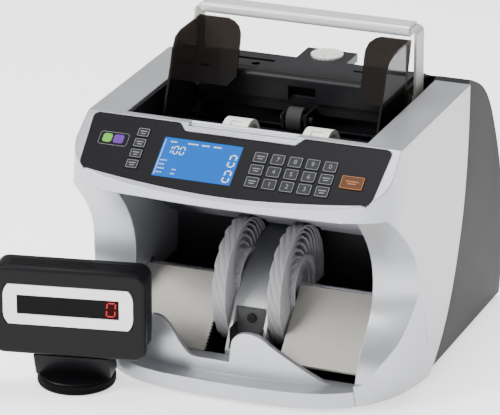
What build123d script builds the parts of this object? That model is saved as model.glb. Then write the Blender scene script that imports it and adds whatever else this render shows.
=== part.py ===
from build123d import *
import os
from math import atan2, cos, degrees, hypot, pi, radians, sin, tan

# ---- driving dimensions, mm. X is the width, -Y is the operator's side, +Z is up, floor at Z = 0
overall_width = 308.0          # across the widest part of the silver sides
rim_height = 240.0             # floor to the silver rim round the hopper
rim_rear = 177.0               # Y of the rear end of the silver rim
back_depth = 274.0             # Y of the rearmost point, at the foot of the rear cover
hopper_side = 33.0             # width of the silver band beside the hopper
shell = 3.0                    # wall of the silver housing and the rear cover
panel_angle = 36.0             # slope of the control panel
wheel_radius = 56.0            # stacker wheel
wheel_width = 13.0
wheel_pitch = 26.0             # X of each stacker wheel's middle plane
blade_count = 20
handle_reach = 69.0            # pivot to the middle of the grip
guide_travel = 46.0            # inward slide of each banknote guide
feed_radius = 21.0             # white feed wheel
display_width = 138.0
display_height = 82.0
display_depth = 34.0
key_travel = 0.5

# ---- shared fits
run_gap = 0.05                 # radial clearance of a turning pin
part_gap = 0.3                 # between pieces that move past each other
seam = 0.3                     # between fixed covers

# ---- derived
mid_half = overall_width / 2
rim_half = mid_half - 9.0
floor_half = mid_half - 6.0
open_half = rim_half - hopper_side
wall_half = open_half + shell
cover_half = rim_half - 2.0
lip_z = rim_height - 51.0
sn, cs = sin(radians(panel_angle)), cos(radians(panel_angle))
panel_y, panel_z = -8.0, rim_height - 1.0
floor_z = 4.0                  # lower edge of the covers
plate_z = 6.5                  # top of the base tray
shaft_y, shaft_z = 54.0, 76.0                      # stacker shaft
feed_y, feed_z = 80.0, rim_height - 45.0           # feed shaft
transport_y, transport_z = 128.0, rim_height - 90.0
motor_y, motor_z = 150.0, 60.0
frame_x = open_half + 6.0      # inner face of each side frame
frame_t = 1.5
belt_x = frame_x + 5.0
belt_w = 6.0
pulley_r = {"stacker": 12.0, "feed": 10.0, "transport": 10.0, "motor": 10.0}
pivot_y, pivot_z = 152.0, rim_height - 14.0        # handle pivots
bridge_half = open_half - 12.0
bridge_front, bridge_rear = 136.0, rim_rear + 9.0
bridge_top = rim_height + 2.0
roof_front, roof_rear = (-24.0, lip_z - 9.0), (97.0, 116.5)
cavity_back = 118.0
display_at = (-mid_half + 14.0, -54.0)
display_turn = 11.2


# ---- helpers
def box(x0, x1, y0, y1, z0, z1):
    """Box between two corners."""
    return Pos((x0 + x1) / 2, (y0 + y1) / 2, (z0 + z1) / 2) * Box(abs(x1 - x0), abs(y1 - y0), abs(z1 - z0))


def rod_x(x0, x1, y, z, r):
    """Cylinder along X."""
    return Pos((x0 + x1) / 2, y, z) * Rot(0, 90, 0) * Cylinder(r, abs(x1 - x0))


def rod_y(y0, y1, x, z, r):
    """Cylinder along Y."""
    return Pos(x, (y0 + y1) / 2, z) * Rot(90, 0, 0) * Cylinder(r, abs(y1 - y0))


def rod_z(z0, z1, x, y, r):
    """Cylinder along Z."""
    return Pos(x, y, (z0 + z1) / 2) * Cylinder(r, abs(z1 - z0))


def side_plane(x):
    """Sketch plane whose local axes are Y and Z, facing +X."""
    return Plane(origin=(x, 0, 0), x_dir=(0, 1, 0), z_dir=(1, 0, 0))


def face_of(*edges, plane=Plane.XY):
    """Planar face inside a closed run of edges drawn in a plane's local axes."""
    return plane * make_face(Curve() + list(edges))


def prism_x(points, x0, x1):
    """Polygon of (Y, Z) points pushed from x0 to x1."""
    return extrude(side_plane(x0) * make_face(Polyline(*points, close=True)), amount=x1 - x0)


def prism_y(points, y0, y1):
    """Polygon of (X, Z) points pushed from y0 to y1."""
    plane = Plane(origin=(0, y1, 0), x_dir=(1, 0, 0), z_dir=(0, -1, 0))
    return extrude(plane * make_face(Polyline(*points, close=True)), amount=y1 - y0)


def prism_z(points, z0, z1):
    """Polygon of (X, Y) points pushed from z0 to z1."""
    return extrude(Plane.XY.offset(z0) * make_face(Polyline(*points, close=True)), amount=z1 - z0)


def shifted(points, t):
    """Run of 2-D points moved t to its left."""
    out = []
    for i, p in enumerate(points):
        a, b = points[max(i - 1, 0)], points[min(i + 1, len(points) - 1)]
        dx, dy = b[0] - a[0], b[1] - a[1]
        n = hypot(dx, dy)
        out.append((p[0] - dy / n * t, p[1] + dx / n * t))
    return out


def panel(z=0.0):
    """Plane of the control panel: local x is X, local y runs up the slope, z leaves the surface."""
    origin = (0, panel_y - sn * z, panel_z + cs * z)
    return Plane(origin=origin, x_dir=(1, 0, 0), z_dir=(0, -sn, cs))


def slab(x0, x1, t0, t1, z0, z1, r=0.0):
    """Plate on the panel plane; t is measured down the slope from the panel's top edge."""
    shape = RectangleRounded(x1 - x0, t1 - t0, r) if r else Rectangle(x1 - x0, t1 - t0)
    return extrude(panel(z0) * Pos((x0 + x1) / 2, -(t0 + t1) / 2) * shape, amount=z1 - z0)


# ---- silver housing form
def low_plan():
    """Right half of the outline at the floor, from the middle to the side."""
    h = floor_half
    front = [(0, -46), (30, -45.4), (60, -42.5), (88, -35)]
    return front + [(h - 38, -22), (h - 20, -2), (h - 9, 20), (h - 2, 50), (h + 1, 75)]


def mid_plan():
    """Right half of the outline at the widest level."""
    h = mid_half
    front = [(0, -75), (30, -74), (60, -72), (88, -66)]
    return front + [(h - 44, -57), (h - 19, -36), (h - 9, -16), (h - 3, 4), (h + 1, 22)]


def lip_plan(extra):
    """Right half of the outline of the front lip."""
    h = rim_half + extra
    front = [(0, -69), (30, -68.6), (60, -67), (h - 45, -62.5)]
    return front + [(h - 20, -56), (h - 8, -48), (h - 3, -41), (h, -32), (h + 2, -18)]


def plan_face(half, z, t):
    """Closed outline at height z, inset by t, open-ended towards the rear."""
    right = shifted(half, t)
    right[0] = (0, right[0][1])
    front = [(-x, y) for x, y in reversed(right[1:])] + right
    x, y = right[-1]
    wide, far = x + 30, 300
    wall = Polyline((x, y), (wide, y), (wide, far), (-wide, far), (-wide, y), (-x, y))
    return Plane.XY.offset(z) * make_face(Curve() + [Spline(*front), wall])


def front_wrap(t):
    """Body bounded by the front outlines from floor to rim."""
    levels = [plan_face(low_plan(), -12, t), plan_face(mid_plan(), 105, t)]
    levels += [plan_face(lip_plan(5.5), lip_z - 24, t), plan_face(lip_plan(0), rim_height + 6, t)]
    body = loft(levels[0:2], ruled=True)
    body += loft(levels[1:3], ruled=True)
    return body + loft(levels[2:4], ruled=True)


def flare(t):
    """Front view of the body, with its bowed sides, pushed along Y."""
    side = [(floor_half - 0.6 - t, -12), (mid_half - 1.2 - t, 55), (mid_half - t, 105)]
    side += [(rim_half + 5.5 - t, lip_z - 18), (rim_half - t, rim_height + 2)]
    left = [(-x, z) for x, z in side]
    plane = Plane(origin=(0, 300, 0), x_dir=(1, 0, 0), z_dir=(0, -1, 0))
    edges = [Spline(*side), Line(side[-1], left[-1]), Spline(*reversed(left)), Line(left[0], side[0])]
    return extrude(face_of(*edges, plane=plane), amount=420)


def rear_edge():
    """Curve down the rear of the silver sides, in (Y, Z)."""
    r = rim_rear
    upper = [(r, rim_height), (r - 16, rim_height - 55), (r - 36, rim_height - 104)]
    return upper + [(r - 55, 95), (r - 72, 55), (r - 111, floor_z)]


def slope_line(t, reach):
    """Two points of the panel slope, lowered by t, from the rim level down to Y = -reach."""
    top = rim_height - t
    y0, z0 = panel_y - sn * (0.8 - t), panel_z + cs * (0.8 - t)
    fall = tan(radians(panel_angle))
    return (y0 + (top - z0) / fall, top), (-reach, z0 - (y0 + reach) * fall)


def side_form(t):
    """Side view pushed across the width; the inset form runs out through the rear and the floor."""
    top, low = slope_line(t, 95)
    if t:
        outline = [(300, -20), (-95, -20), low, top, (300, rim_height - t)]
        return prism_x(outline, -mid_half - 20, mid_half + 20)
    rear = rear_edge()
    edges = [Polyline(rear[-1], (-95, floor_z), low, top, rear[0]), Spline(*rear)]
    return extrude(face_of(*edges, plane=side_plane(-mid_half - 20)), amount=2 * mid_half + 40)


def cheek_curve(outer):
    """Front edge of a silver cheek in (Y, Z), at the opening or beyond the side."""
    top = lip_z - 0.5
    shoulder = (lip_z + 105) / 2
    if outer:
        lower = [(18, 122), (19, 98), (12, 82), (4, 64), (-4, 52), (-12, 40), (-18, 28)]
        return [(-44, top), (-22, top - 19), (3, shoulder - 1)] + lower
    lower = [(14, 121), (16.5, 97), (9, 76), (-6, 60), (-18, 48), (-24, 36), (-27, 26)]
    return [(-40, top), (-19, top - 20), (1, shoulder - 1)] + lower


def cheek_face(outer, x, t):
    """Region in front of a cheek, grown by t."""
    curve = shifted(cheek_curve(outer), t)
    edges = [Spline(*curve), Polyline(curve[-1], (-130, curve[-1][1]), (-130, curve[0][1]), curve[0])]
    return face_of(*edges, plane=side_plane(x))


def stacker_void(t):
    """Everything the silver housing leaves open at the front, grown by t."""
    inner, outer = open_half + t, mid_half + 4
    right = loft([cheek_face(False, inner, t), cheek_face(True, outer, t)], ruled=True)
    left = mirror(right, about=Plane.YZ)
    roof = [(-130, lip_z + t), (-66, lip_z + t), (roof_front[0], roof_front[1] + t)]
    roof += [(100, 118 + t), (cavity_back + t, 112)]
    middle = prism_x(roof + [(cavity_back + t, -20), (-130, -20)], -inner, inner)
    return middle + right + left


def body_form(t):
    """Whole silver body before it is opened, inset by t."""
    return side_form(t) & flare(t) & front_wrap(t)


def panel_outline(grow=0.0):
    """Outline of the control panel in panel axes, with its corners rounded."""
    h = rim_half - 6.5 + grow
    s = 58.0
    top = [(-h, grow), (-s, grow), (-s + 7, -8 + grow)]
    top += [(-x, t) for x, t in reversed(top)]
    low = [(h - 4, -57.5 - grow), (h - 30, -61.5 - grow), (70, -66 - grow), (0, -70 - grow)]
    low += [(-x, t) for x, t in reversed(low[:-1])]
    face = make_face(Curve() + [Polyline(low[-1], *top, low[0]), Spline(*low)])
    for x, t, r in ((h, 0, 6.0), (h - 4, -57.5, 9.0), (s, 0, 2.5), (s - 7, -8, 2.5)):
        ends = [v for v in face.vertices() if hypot(abs(v.X) - x, v.Y - t) < 2 * seam + 0.2]
        face = fillet(ends, r)
    return face


def main_housing():
    """Silver cover: sides, front cheeks, sloping panel frame and front lip, 3 mm wall."""
    body = body_form(0) - stacker_void(0)
    body -= body_form(shell) - stacker_void(shell)
    body -= box(-open_half, open_half, 0, 300, rim_height - 30, rim_height + 10)
    body -= box(-open_half, open_half, roof_front[0], 300, 60, lip_z + 6)
    body -= extrude(panel(-1.2) * panel_outline(seam), amount=6)
    body -= slab(-rim_half + 14, rim_half - 14, 9, 58.5, -8, 1)
    body -= rod_x(-50, 50, panel_y + 1.0, rim_height + 3.0, 6.0)
    for x, t in board_posts():
        body += slab(x - 3, x + 3, t - 3, t + 3, -7.4, -1.4)
    for s in (-1, 1):
        body -= rod_x(s * (open_half - 2), s * (wall_half + 2), shaft_y, shaft_z, 7)
        body += box(s * (wall_half - 1), s * (frame_x - seam), 68, 84, plate_z, 18)
    return body - box(-wall_half - 0.2, wall_half + 0.2, -16, 200, 0, plate_z)


def board_posts():
    """Posts under the panel that carry the board, as (x, distance down the slope)."""
    return [(-rim_half + 20, 7.0), (rim_half - 20, 7.0), (-50, 62.0), (50, 62.0)]


# ---- nose with the retaining wall
def nose_wall_profile():
    """Front view of the retaining wall, in (X, Z)."""
    left = [(-40, 33), (-48, 40), (-58, 53), (-70, 62.5), (-80, 62), (-92, 50), (-100, 34)]
    left.append((-open_half + 4, 20))
    right = [(-open_half + 4, 12), (open_half - 4, 12), (open_half - 4, 19), (90, 19), (82, 22), (34, 53)]
    crest = [(34, 53), (24, 59.5), (12, 61), (4, 58), (-1, 50)]
    plane = Plane(origin=(0, 40, 0), x_dir=(1, 0, 0), z_dir=(0, -1, 0))
    notch = Polyline((-1, 50), (-3, 32), (-36, 32), left[0])
    edges = [Spline(*crest), notch, Spline(*left[:5]), Polyline(left[4], *left[5:], *right)]
    return extrude(face_of(*edges, plane=plane), amount=120)


def nose_band(t):
    """Front band of the floor outline between the two seams, inset by t."""
    half = open_half - seam - t
    return front_wrap(t) & box(-half, half, -90, -13 + t, -10, 40)


def stacker_nose():
    """Silver front piece: ledge, shelf and the banknote retaining wall."""
    skin = nose_band(0) & box(-200, 200, -90, 0, floor_z, 20)
    skin -= nose_band(shell) & box(-200, 200, -90, 0, -10, 17)
    inner, outer = plan_face(low_plan(), 12, 17), plan_face(low_plan(), 12, 12)
    wall = (extrude(outer, amount=60) - extrude(inner, amount=60)) & nose_wall_profile()
    wall = wall & box(-open_half + 1, open_half - 1, -60, -14.5, 0, 80)
    shelf = extrude(plan_face(low_plan(), 27, 14), amount=3) & box(-60, 16, -60, -14, 20, 40)
    riser = box(-60, 16, -16.5, -14, 17, 30)
    feet = box(-70, -50, -30, -12, plate_z, 18) + box(50, 70, -30, -12, plate_z, 18)
    return skin + wall + shelf + riser + feet


# ---- rear cover
def rear_curve(t):
    """Back of the machine from the top to the floor, in (Y, Z), inset by t."""
    b, top = back_depth, rim_height
    outer = [(rim_rear + 13, top - 0.3), (rim_rear + 19, top - 3), (b - 55, top - 15), (b - 37, top - 35)]
    outer += [(b - 29, top - 55), (b - 20, 150), (b - 11, 92), (b - 4, 45), (b, floor_z)]
    return shifted(outer, -t)


def rear_cover():
    """Dark rounded rear cover, open to the front and the floor, tucked inside the silver sides."""
    gap, tuck = 0.6, 9.0
    front = [(y + gap, z) for y, z in rear_edge()]
    inside = [(y - tuck, z) for y, z in rear_edge()]
    back = rear_curve(0)
    plane, width = side_plane(-mid_half), 2 * mid_half
    main = [Spline(*reversed(front)), Line(front[0], back[0]), Spline(*back), Line(back[-1], front[-1])]
    outer = extrude(face_of(*main, plane=plane), amount=width)
    behind = Polyline(inside[-1], (back_depth - 60, floor_z), (rim_rear + 6, rim_height), inside[0])
    tongue = [Spline(*inside), behind]
    low = box(-mid_half, mid_half, 0, 400, 0, rim_height - shell - seam)
    outer += extrude(face_of(*tongue, plane=plane), amount=width) & low
    outer = outer & flare(shell + 0.5)
    core = rear_curve(shell)
    core[-1] = (core[-1][0], floor_z - 6)
    foot = (0, core[-1][1])
    loop = [Polyline(foot, (0, core[0][1]), core[0]), Spline(*core), Line(core[-1], foot)]
    body = outer - (extrude(face_of(*loop, plane=plane), amount=width) & flare(2 * shell + 0.5))
    low, high = rim_height - 60, rim_height + 9
    body -= box(-bridge_half - seam, bridge_half + seam, 100, bridge_rear + seam, low, high)
    body -= box(-25, 25, 100, rim_rear + 39.5, rim_height - 6.5, high)
    body -= box(-open_half - seam, open_half + seam, 100, rim_rear + gap, low, high)
    for s in (-1, 1):
        body -= box(s * (bridge_half + 1), s * (open_half - 2), 100, rim_rear + 18, rim_height - 18, high)
        body += box(s * (cover_half - 18), s * (floor_half - 4.6), 228, 242, plate_z, 20)
    body -= box(-116, -34, 230, 300, 14, 62)
    for x, z in screw_places():
        body -= rod_y(back_depth - 40, back_depth + 10, x, z, 1.8)
    for i in range(9):
        body -= box(10 + i * 9, 14 + i * 9, back_depth - 30, back_depth + 10, 70, 105)
    return body


def screw_places():
    """Rear cover screws, as (X, Z)."""
    x = cover_half - 14
    return [(-x, 30), (x, 30), (-x, 120), (x, 120)]


def back_y(z):
    """Y of the rear cover's outside at a low height z, read from its curve."""
    pts = rear_curve(0)
    for (y0, z0), (y1, z1) in zip(pts, pts[1:]):
        if z1 <= z <= z0:
            return y0 + (y1 - y0) * (z0 - z) / (z0 - z1)
    return back_depth


def cover_screws():
    """Pan-head screws of the rear cover."""
    out = []
    for x, z in screw_places():
        y = back_y(z) + 1.2
        head = rod_y(y, y + 2.0, x, z, 3.4)
        head -= box(x - 2.4, x + 2.4, y + 1.2, y + 3, z - 0.4, z + 0.4)
        head -= box(x - 0.4, x + 0.4, y + 1.2, y + 3, z - 2.4, z + 2.4)
        out.append(head + rod_y(y - 12, y, x, z, 1.6))
    return out


# ---- base, feet and frames
def base_tray():
    """Sheet base with an upright at the rear that carries the power inlet."""
    h = floor_half
    right = [(0, -38), (60, -35), (88, -27), (h - 42, -14), (h - 26, 4), (h - 15, 24), (h - 11, 60)]
    right += [(cover_half - shell - 2, 80), (cover_half - shell - 2, back_depth - 12)]
    outline = right + [(-x, y) for x, y in reversed(right[1:])]
    tray = prism_z(outline, plate_z - 1.5, plate_z)
    upright = box(-120, -30, back_depth - 14, back_depth - 12.5, plate_z - 1.5, 66)
    upright -= inlet_hole() + switch_hole()
    for x, y in foot_places():
        tray -= rod_z(0, 10, x, y, 2.0)
    return tray + upright


def foot_places():
    """Rubber feet, as (X, Y)."""
    return [(-98, 4), (98, 4), (-116, back_depth - 36), (116, back_depth - 36)]


def rubber_feet():
    """Four rubber feet pushed into the base."""
    out = []
    for x, y in foot_places():
        foot = rod_z(0, plate_z - 1.5, x, y, 9.0)
        foot = chamfer(foot.faces().sort_by(Axis.Z)[0].edges(), 1.0)
        out.append(foot + rod_z(plate_z - 1.5, plate_z + 1.5, x, y, 1.95))
    return out


def side_frame(s):
    """Sheet side frame with the shaft bearings; s is -1 for left and 1 for right."""
    pts = [(26, plate_z), (26, 108), (66, feed_z + 11), (94, feed_z + 11)]
    pts += [(112, rim_height - 47), (180, rim_height - 47), (180, plate_z)]
    x0, x1 = (frame_x, frame_x + frame_t) if s > 0 else (-frame_x - frame_t, -frame_x)
    plate = prism_x(pts, x0, x1)
    lip_in, lip_out = s * (open_half + 0.6), s * (frame_x + 0.5)
    plate += box(lip_in, lip_out, 125, 180, rim_height - 48.5, rim_height - 47)
    plate += box(s * (frame_x - 4), lip_out, 120, 180, plate_z, plate_z + 1.5)
    for y, z in ((shaft_y, shaft_z), (feed_y, feed_z), (transport_y, transport_z)):
        plate += rod_x(s * (frame_x + 0.5), s * (frame_x + 3.5), y, z, 8)
        plate -= rod_x(s * (frame_x - 3), s * (frame_x + 6), y, z, 4 + run_gap)
    if s > 0:
        plate -= rod_x(frame_x - 3, frame_x + 6, motor_y, motor_z, 9)
    return plate


# ---- control panel
left_keys = ["mode_key", "batch_key", "add_key", "speed_key"]
grid_keys = ["curr_key", "key_7", "key_8", "key_9", "key_0", "ads_key", "key_4", "key_5",
             "key_6", "clear_key", "val_key", "key_1", "key_2", "key_3", "report_key"]


def key_places():
    """Node name, centre x, distance down the slope, width and height of every key."""
    out = [(n, -87.4, 15.3 + 11.1 * i, 11.2, 9.0) for i, n in enumerate(left_keys)]
    for i, n in enumerate(grid_keys):
        out.append((n, 24.5 + 16.0 * (i % 5), 24.8 + 12.9 * (i // 5), 12.6, 11.0))
    out.append(("restart_key", 111.9, 37.7, 21.0, 13.5))
    return out


def control_panel():
    """Black front plate of the control panel with windows for the screen and the keys."""
    plate = extrude(panel(-1.2) * panel_outline(), amount=1.2)
    plate -= slab(-67, 6, 16, 57, -3, 3, 1.0)
    for _, x, t, w, h in key_places():
        a, b = w / 2 + part_gap, h / 2 + part_gap
        plate -= slab(x - a, x + a, t - b, t + b, -3, 3, 1.3)
    return plate


def lcd_window():
    """Clear screen window, held from behind by its rim."""
    return slab(-66.9, 5.9, 16.1, 56.9, -1.2, -0.2, 0.9) + slab(-69, 8, 14, 58, -2.2, -1.2)


def key(x, t, w, h):
    """Key cap with a retaining flange and a stem."""
    cap = slab(x - w / 2, x + w / 2, t - h / 2, t + h / 2, -1.6, 0.8, 1.1)
    cap = chamfer(cap.faces().sort_by(Axis((0, 0, 0), (0, -sn, cs)))[-1].edges(), 0.3)
    cap += slab(x - w / 2 - 0.7, x + w / 2 + 0.7, t - h / 2 - 0.6, t + h / 2 + 0.6, -2.4, -1.5)
    return cap + slab(x - 2, x + 2, t - 2, t + 2, -6.0, -2.4)


def main_board():
    """Circuit board with the screen module and one switch under each key."""
    board = slab(-rim_half + 17, rim_half - 17, 4, 57, -9.0, -7.4)
    board += slab(-60, 60, 56, 64, -9.0, -7.4)
    board += slab(-70, 9, 13, 58.5, -7.4, -2.2)
    for _, x, t, _, _ in key_places():
        board += slab(x - 2.5, x + 2.5, t - 2.5, t + 2.5, -7.4, -6.0 - key_travel - part_gap)
    return board


# ---- hopper
def tray_floor(y):
    """Height of the hopper floor at Y."""
    return rim_height - 18 - (y - 2.3) * 0.2256


def hopper_tray():
    """Black tray with the sloping feed floor and its side walls."""
    out, t = open_half - seam, 2.0
    end = 122.0
    front = [(seam, tray_floor(seam) - t), (seam, rim_height - 2)]
    pts = front + [(seam + t, rim_height - 2), (seam + t, tray_floor(seam + t))]
    pts += [(end, tray_floor(end)), (end, tray_floor(end) - t)]
    tray = prism_x(pts, -out, out)
    low = rim_height - 45
    wall = front + [(rim_rear - 1, rim_height - 2), (rim_rear - 1, low - t), (end, low - t)]
    for s in (-1, 1):
        tray += prism_x(wall, min(s * out, s * (out - t)), max(s * out, s * (out - t)))
        tray += box(s * (out - 1), s * (frame_x - 0.2), 130, 178, low - t, low)
    tray += box(-out, out, 136, rim_rear + 6, low - t, low)
    front, rear = feed_y - feed_radius - 2, feed_y + feed_radius + 2
    for x in (-38, 38):
        tray -= box(x - 13, x + 13, front, rear, low - 8, rim_height - 10)
    return tray


def hopper_bridge():
    """Black bridge over the rear of the hopper, with the guide slots and the handle pivot bores."""
    b, top, low = bridge_half, bridge_top, rim_height - 45
    f, r = bridge_front, bridge_rear
    body = box(-b, b, f, r, low, top)
    body = fillet(body.edges().filter_by(Axis.X).group_by(Axis.Z)[-1].sort_by(Axis.Y)[0], 5.0)
    body -= box(-b + 2.5, b - 2.5, f + 2.5, r - 2.5, low - 1, top - 2.5)
    body -= box(-b - 1, b + 1, f - 1, f + 5, low - 1, top - 24)
    body += box(-b, b, f + 5, f + 7.5, low + 11, top - 20)
    body -= box(-13, 13, f - 2, f + 4, top - 26, top - 10)
    body += box(-24, 24, r - 3, rim_rear + 39, top - 8, top)
    body -= rod_z(top - 4.5, top + 1, 0, rim_rear + 24, 15.5)
    body -= rod_z(top - 12, top, 0, rim_rear + 24, 3 + run_gap)
    for s in (-1, 1):
        body += rod_x(s * (b - 8), s * (b - 2), pivot_y, pivot_z, 8)
        body -= rod_x(s * (b - 12), s * (b + 2), pivot_y, pivot_z, 4 + run_gap)
        body -= box(s * (b - 3), s * (b - 15 - guide_travel - 1), 165.5, 170.5, top - 4, top + 1)
        body += box(s * 9.5, s * 12, f - 20, f + 7, top - 43, top - 29)
        body -= rod_x(s * 8, s * 14, retard_place()[0], retard_place()[1], 3 + run_gap)
    body -= rod_z(top - 4, top + 1, -52, 156, 4.0)
    for y in (f + 8, f + 11):
        body -= box(-b + 6, b - 6, y, y + 0.8, top - 0.6, top + 1)
    return body


def retard_place():
    """Centre of the retard roller, as (Y, Z)."""
    return bridge_front - 12, bridge_top - 36


def retard_roller():
    """Rubber retard roller on its pin."""
    y, z = retard_place()
    body = rod_x(-7, 7, y, z, 11) - rod_x(-8, -5, y, z, 8) - rod_x(5, 8, y, z, 8)
    return body + rod_x(-9, 9, y, z, 5) + rod_x(-15, 15, y, z, 3)


def feed_gap_knob():
    """Dial that sets the feed gap."""
    x, y, z = 0, rim_rear + 24, bridge_top
    dial = rod_z(z - 4.2, z + 1.6, x, y, 15.0)
    for i in range(24):
        a = 2 * pi * i / 24
        dial -= rod_z(z - 6, z + 3, x + 15.4 * cos(a), y + 15.4 * sin(a), 0.9)
    dial -= box(x - 0.5, x + 0.5, y - 12, y - 4, z + 1.0, z + 3)
    return dial + rod_z(z - 8, z - 4.2, x, y, 3.0)


def guide(s):
    """Smoked banknote guide, folded at its rear edge; s is -1 for left and 1 for right."""
    lean, t = 0.3043, 2.0
    x1 = bridge_half + 1.0
    top = rim_height + 47
    low = rim_height - 11

    def back(z):
        return 143 - (top - z) * lean
    pts = [(back(top), top), (96, top), (84, top - 3), (77, top - 12), (72, top - 26), (60, top - 52)]
    pts += [(52, tray_floor(52) + 1.6), (back(tray_floor(114)), tray_floor(114) + 1.6)]
    side = prism_x(pts, min(s * x1, s * (x1 - t)), max(s * x1, s * (x1 - t)))
    fold = [(back(top), top), (back(top) - t, top), (back(low) - t, low), (back(low), low)]
    fl = prism_x(fold, min(s * x1, s * (x1 - 42)), max(s * x1, s * (x1 - 42)))
    cut = [(x1, top), (x1 - 28, top), (x1 - 34, top - 2), (x1 - 39, top - 6), (x1 - 41.5, top - 12)]
    cut += [(x1 - 42, top - 18), (x1 - 42, low + 9), (x1 - 34, low), (x1, low)]
    fl = fl & prism_y([(s * x, z) for x, z in cut], 80, 180)
    arm_a, arm_b = s * (x1 - 6), s * (x1 - 16)
    arm = box(arm_a, arm_b, back(bridge_top + 2) - 2, 171, bridge_top + 0.4, bridge_top + 3.4)
    arm += box(s * (x1 - 7), s * (x1 - 15), 166, 170, bridge_top - 5, bridge_top + 1)
    foot_front, foot_rear = back(bridge_top + 12) - 2.2, back(bridge_top + 3) + 2
    arm += box(arm_a, arm_b, foot_front, foot_rear, bridge_top + 0.4, bridge_top + 6)
    return side + fl + arm


# ---- shafts, rollers, wheels and drive
def pulley(kind, y, z):
    """Flat belt pulley with two flanges, in the belt plane."""
    r = pulley_r[kind]
    return rod_x(belt_x - 0.5, belt_x + belt_w + 0.5, y, z, r)


def feed_shaft():
    """Feed shaft with its pulley."""
    end = belt_x + belt_w
    return rod_x(-frame_x - 6, end, feed_y, feed_z, 4) + pulley("feed", feed_y, feed_z)


def feed_wheels():
    """Two white feed wheels with a rubber-gripped land each."""
    out = []
    for x in (-38, 38):
        wheel = rod_x(x - 12, x + 12, feed_y, feed_z, feed_radius)
        for a, b in ((x + 9, x + 13), (x - 13, x - 9)):
            wheel -= rod_x(a, b, feed_y, feed_z, feed_radius - 4) - rod_x(a - 1, b + 1, feed_y, feed_z, 8)
        for a in (0, 120, 240):
            cy, cz = feed_y + feed_radius * cos(radians(a)), feed_z + feed_radius * sin(radians(a))
            wheel -= Pos(x, cy, cz) * Rot(a, 0, 0) * Box(10, 3, 12)
        out.append(wheel - rod_x(x - 14, x + 14, feed_y, feed_z, 4))
    return out


def transport_roller():
    """Transport roller shaft with three rubber lands and its pulley."""
    y, z = transport_y, transport_z
    body = rod_x(-frame_x - 6, belt_x + belt_w, y, z, 4) + pulley("transport", y, z)
    for x in (-70, 0, 70):
        body += rod_x(x - 14, x + 14, y, z, 12)
    return body


def stacker_shaft():
    """Stacker wheel shaft with its pulley."""
    return rod_x(-frame_x - 6, belt_x + belt_w, shaft_y, shaft_z, 4) + pulley("stacker", shaft_y, shaft_z)


def blade_slot():
    """Curved slot between two blades, as a band in (Y, Z) about the origin."""
    inner, outer, n = 0.50 * wheel_radius, wheel_radius + 2, 9
    left, right = [], []
    for i in range(n):
        k = i / (n - 1)
        r = outer - (outer - inner) * k
        a = radians(62) * k ** 1.25
        half = (3.4 - 1.5 * k) / 2
        left.append((r * cos(a - half / r), r * sin(a - half / r)))
        right.append((r * cos(a + half / r), r * sin(a + half / r)))
    return left + list(reversed(right))


def stacker_wheel(x):
    """Stacker wheel with curved blades that catch each banknote."""
    half = wheel_width / 2
    body = rod_x(x - half, x + half, 0, 0, wheel_radius)
    slot = prism_x(blade_slot(), x - half - 1, x + half + 1)
    slots = Part() + [Rot(360 * i / blade_count, 0, 0) * slot for i in range(blade_count)]
    body -= slots
    for s in (-1, 1):
        body -= rod_x(x + s * (half - 2.5), x + s * (half + 1), 0, 0, 0.43 * wheel_radius)
        body += rod_x(x + s * (half - 3), x + s * half, 0, 0, 9)
    body -= rod_x(x - half - 1, x + half + 1, 0, 0, 4)
    return Pos(0, shaft_y, shaft_z) * body


def drive_motor():
    """Motor can bolted to the right side frame."""
    can = rod_x(frame_x - 62, frame_x, motor_y, motor_z, 21)
    can += rod_x(frame_x - 66, frame_x - 62, motor_y, motor_z, 9)
    can += rod_x(frame_x, frame_x + 2, motor_y, motor_z, 8.8)
    return can - rod_x(frame_x - 14, frame_x + 6, motor_y, motor_z, 3 + run_gap)


def motor_rotor():
    """Motor shaft end with its pulley."""
    return rod_x(frame_x - 13, belt_x + belt_w, motor_y, motor_z, 3) + pulley("motor", motor_y, motor_z)


def belt_hull(extra):
    """Convex loop round the four pulleys, extra outside their rims, as a solid in the belt plane."""
    places = [("motor", motor_y, motor_z), ("transport", transport_y, transport_z)]
    places += [("feed", feed_y, feed_z), ("stacker", shaft_y, shaft_z)]
    rings = [Pos(y, z) * CenterArc((0, 0), pulley_r[k] + extra, 0, 360) for k, y, z in places]
    return extrude(side_plane(belt_x) * make_hull([e for r in rings for e in r.edges()]), amount=belt_w)


def drive_belt():
    """One flat belt round the motor, transport, feed and stacker pulleys."""
    return belt_hull(part_gap + 1.4) - belt_hull(part_gap)


# ---- stacker
def roof_z(y):
    """Height of the top face of the upper guide plate at Y."""
    (y0, z0), (y1, z1) = roof_front, roof_rear
    return z0 + 1 + (z1 + 2 - z0 - 1) * (y - y0) / (y1 - y0)


def upper_guide_plate():
    """Plate under the front lip that turns each banknote down to the wheels."""
    half = open_half - 0.5
    y0, y1 = roof_front[0], roof_rear[0]
    z0, z1 = roof_z(y0), roof_z(y1)
    pts = [(y0, z0), (y1, z1), (y1 + 2, z1 - 2), (y1, z1 - 4), (y1 - 6, roof_z(y1 - 6) - 2.5), (y0, z0 - 2.5)]
    plate = prism_x(pts, -half, half)
    for s in (-1, 1):
        x = s * wheel_pitch
        plate -= box(x - wheel_width / 2 - 2, x + wheel_width / 2 + 2, shaft_y + 10, y1 + 10, 90, 160)
    return plate


def plate_line():
    """Front-lower and rear-upper ends of the sloping stacker plates, in (Y, Z)."""
    return (-13, 30), (43, 82)


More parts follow.
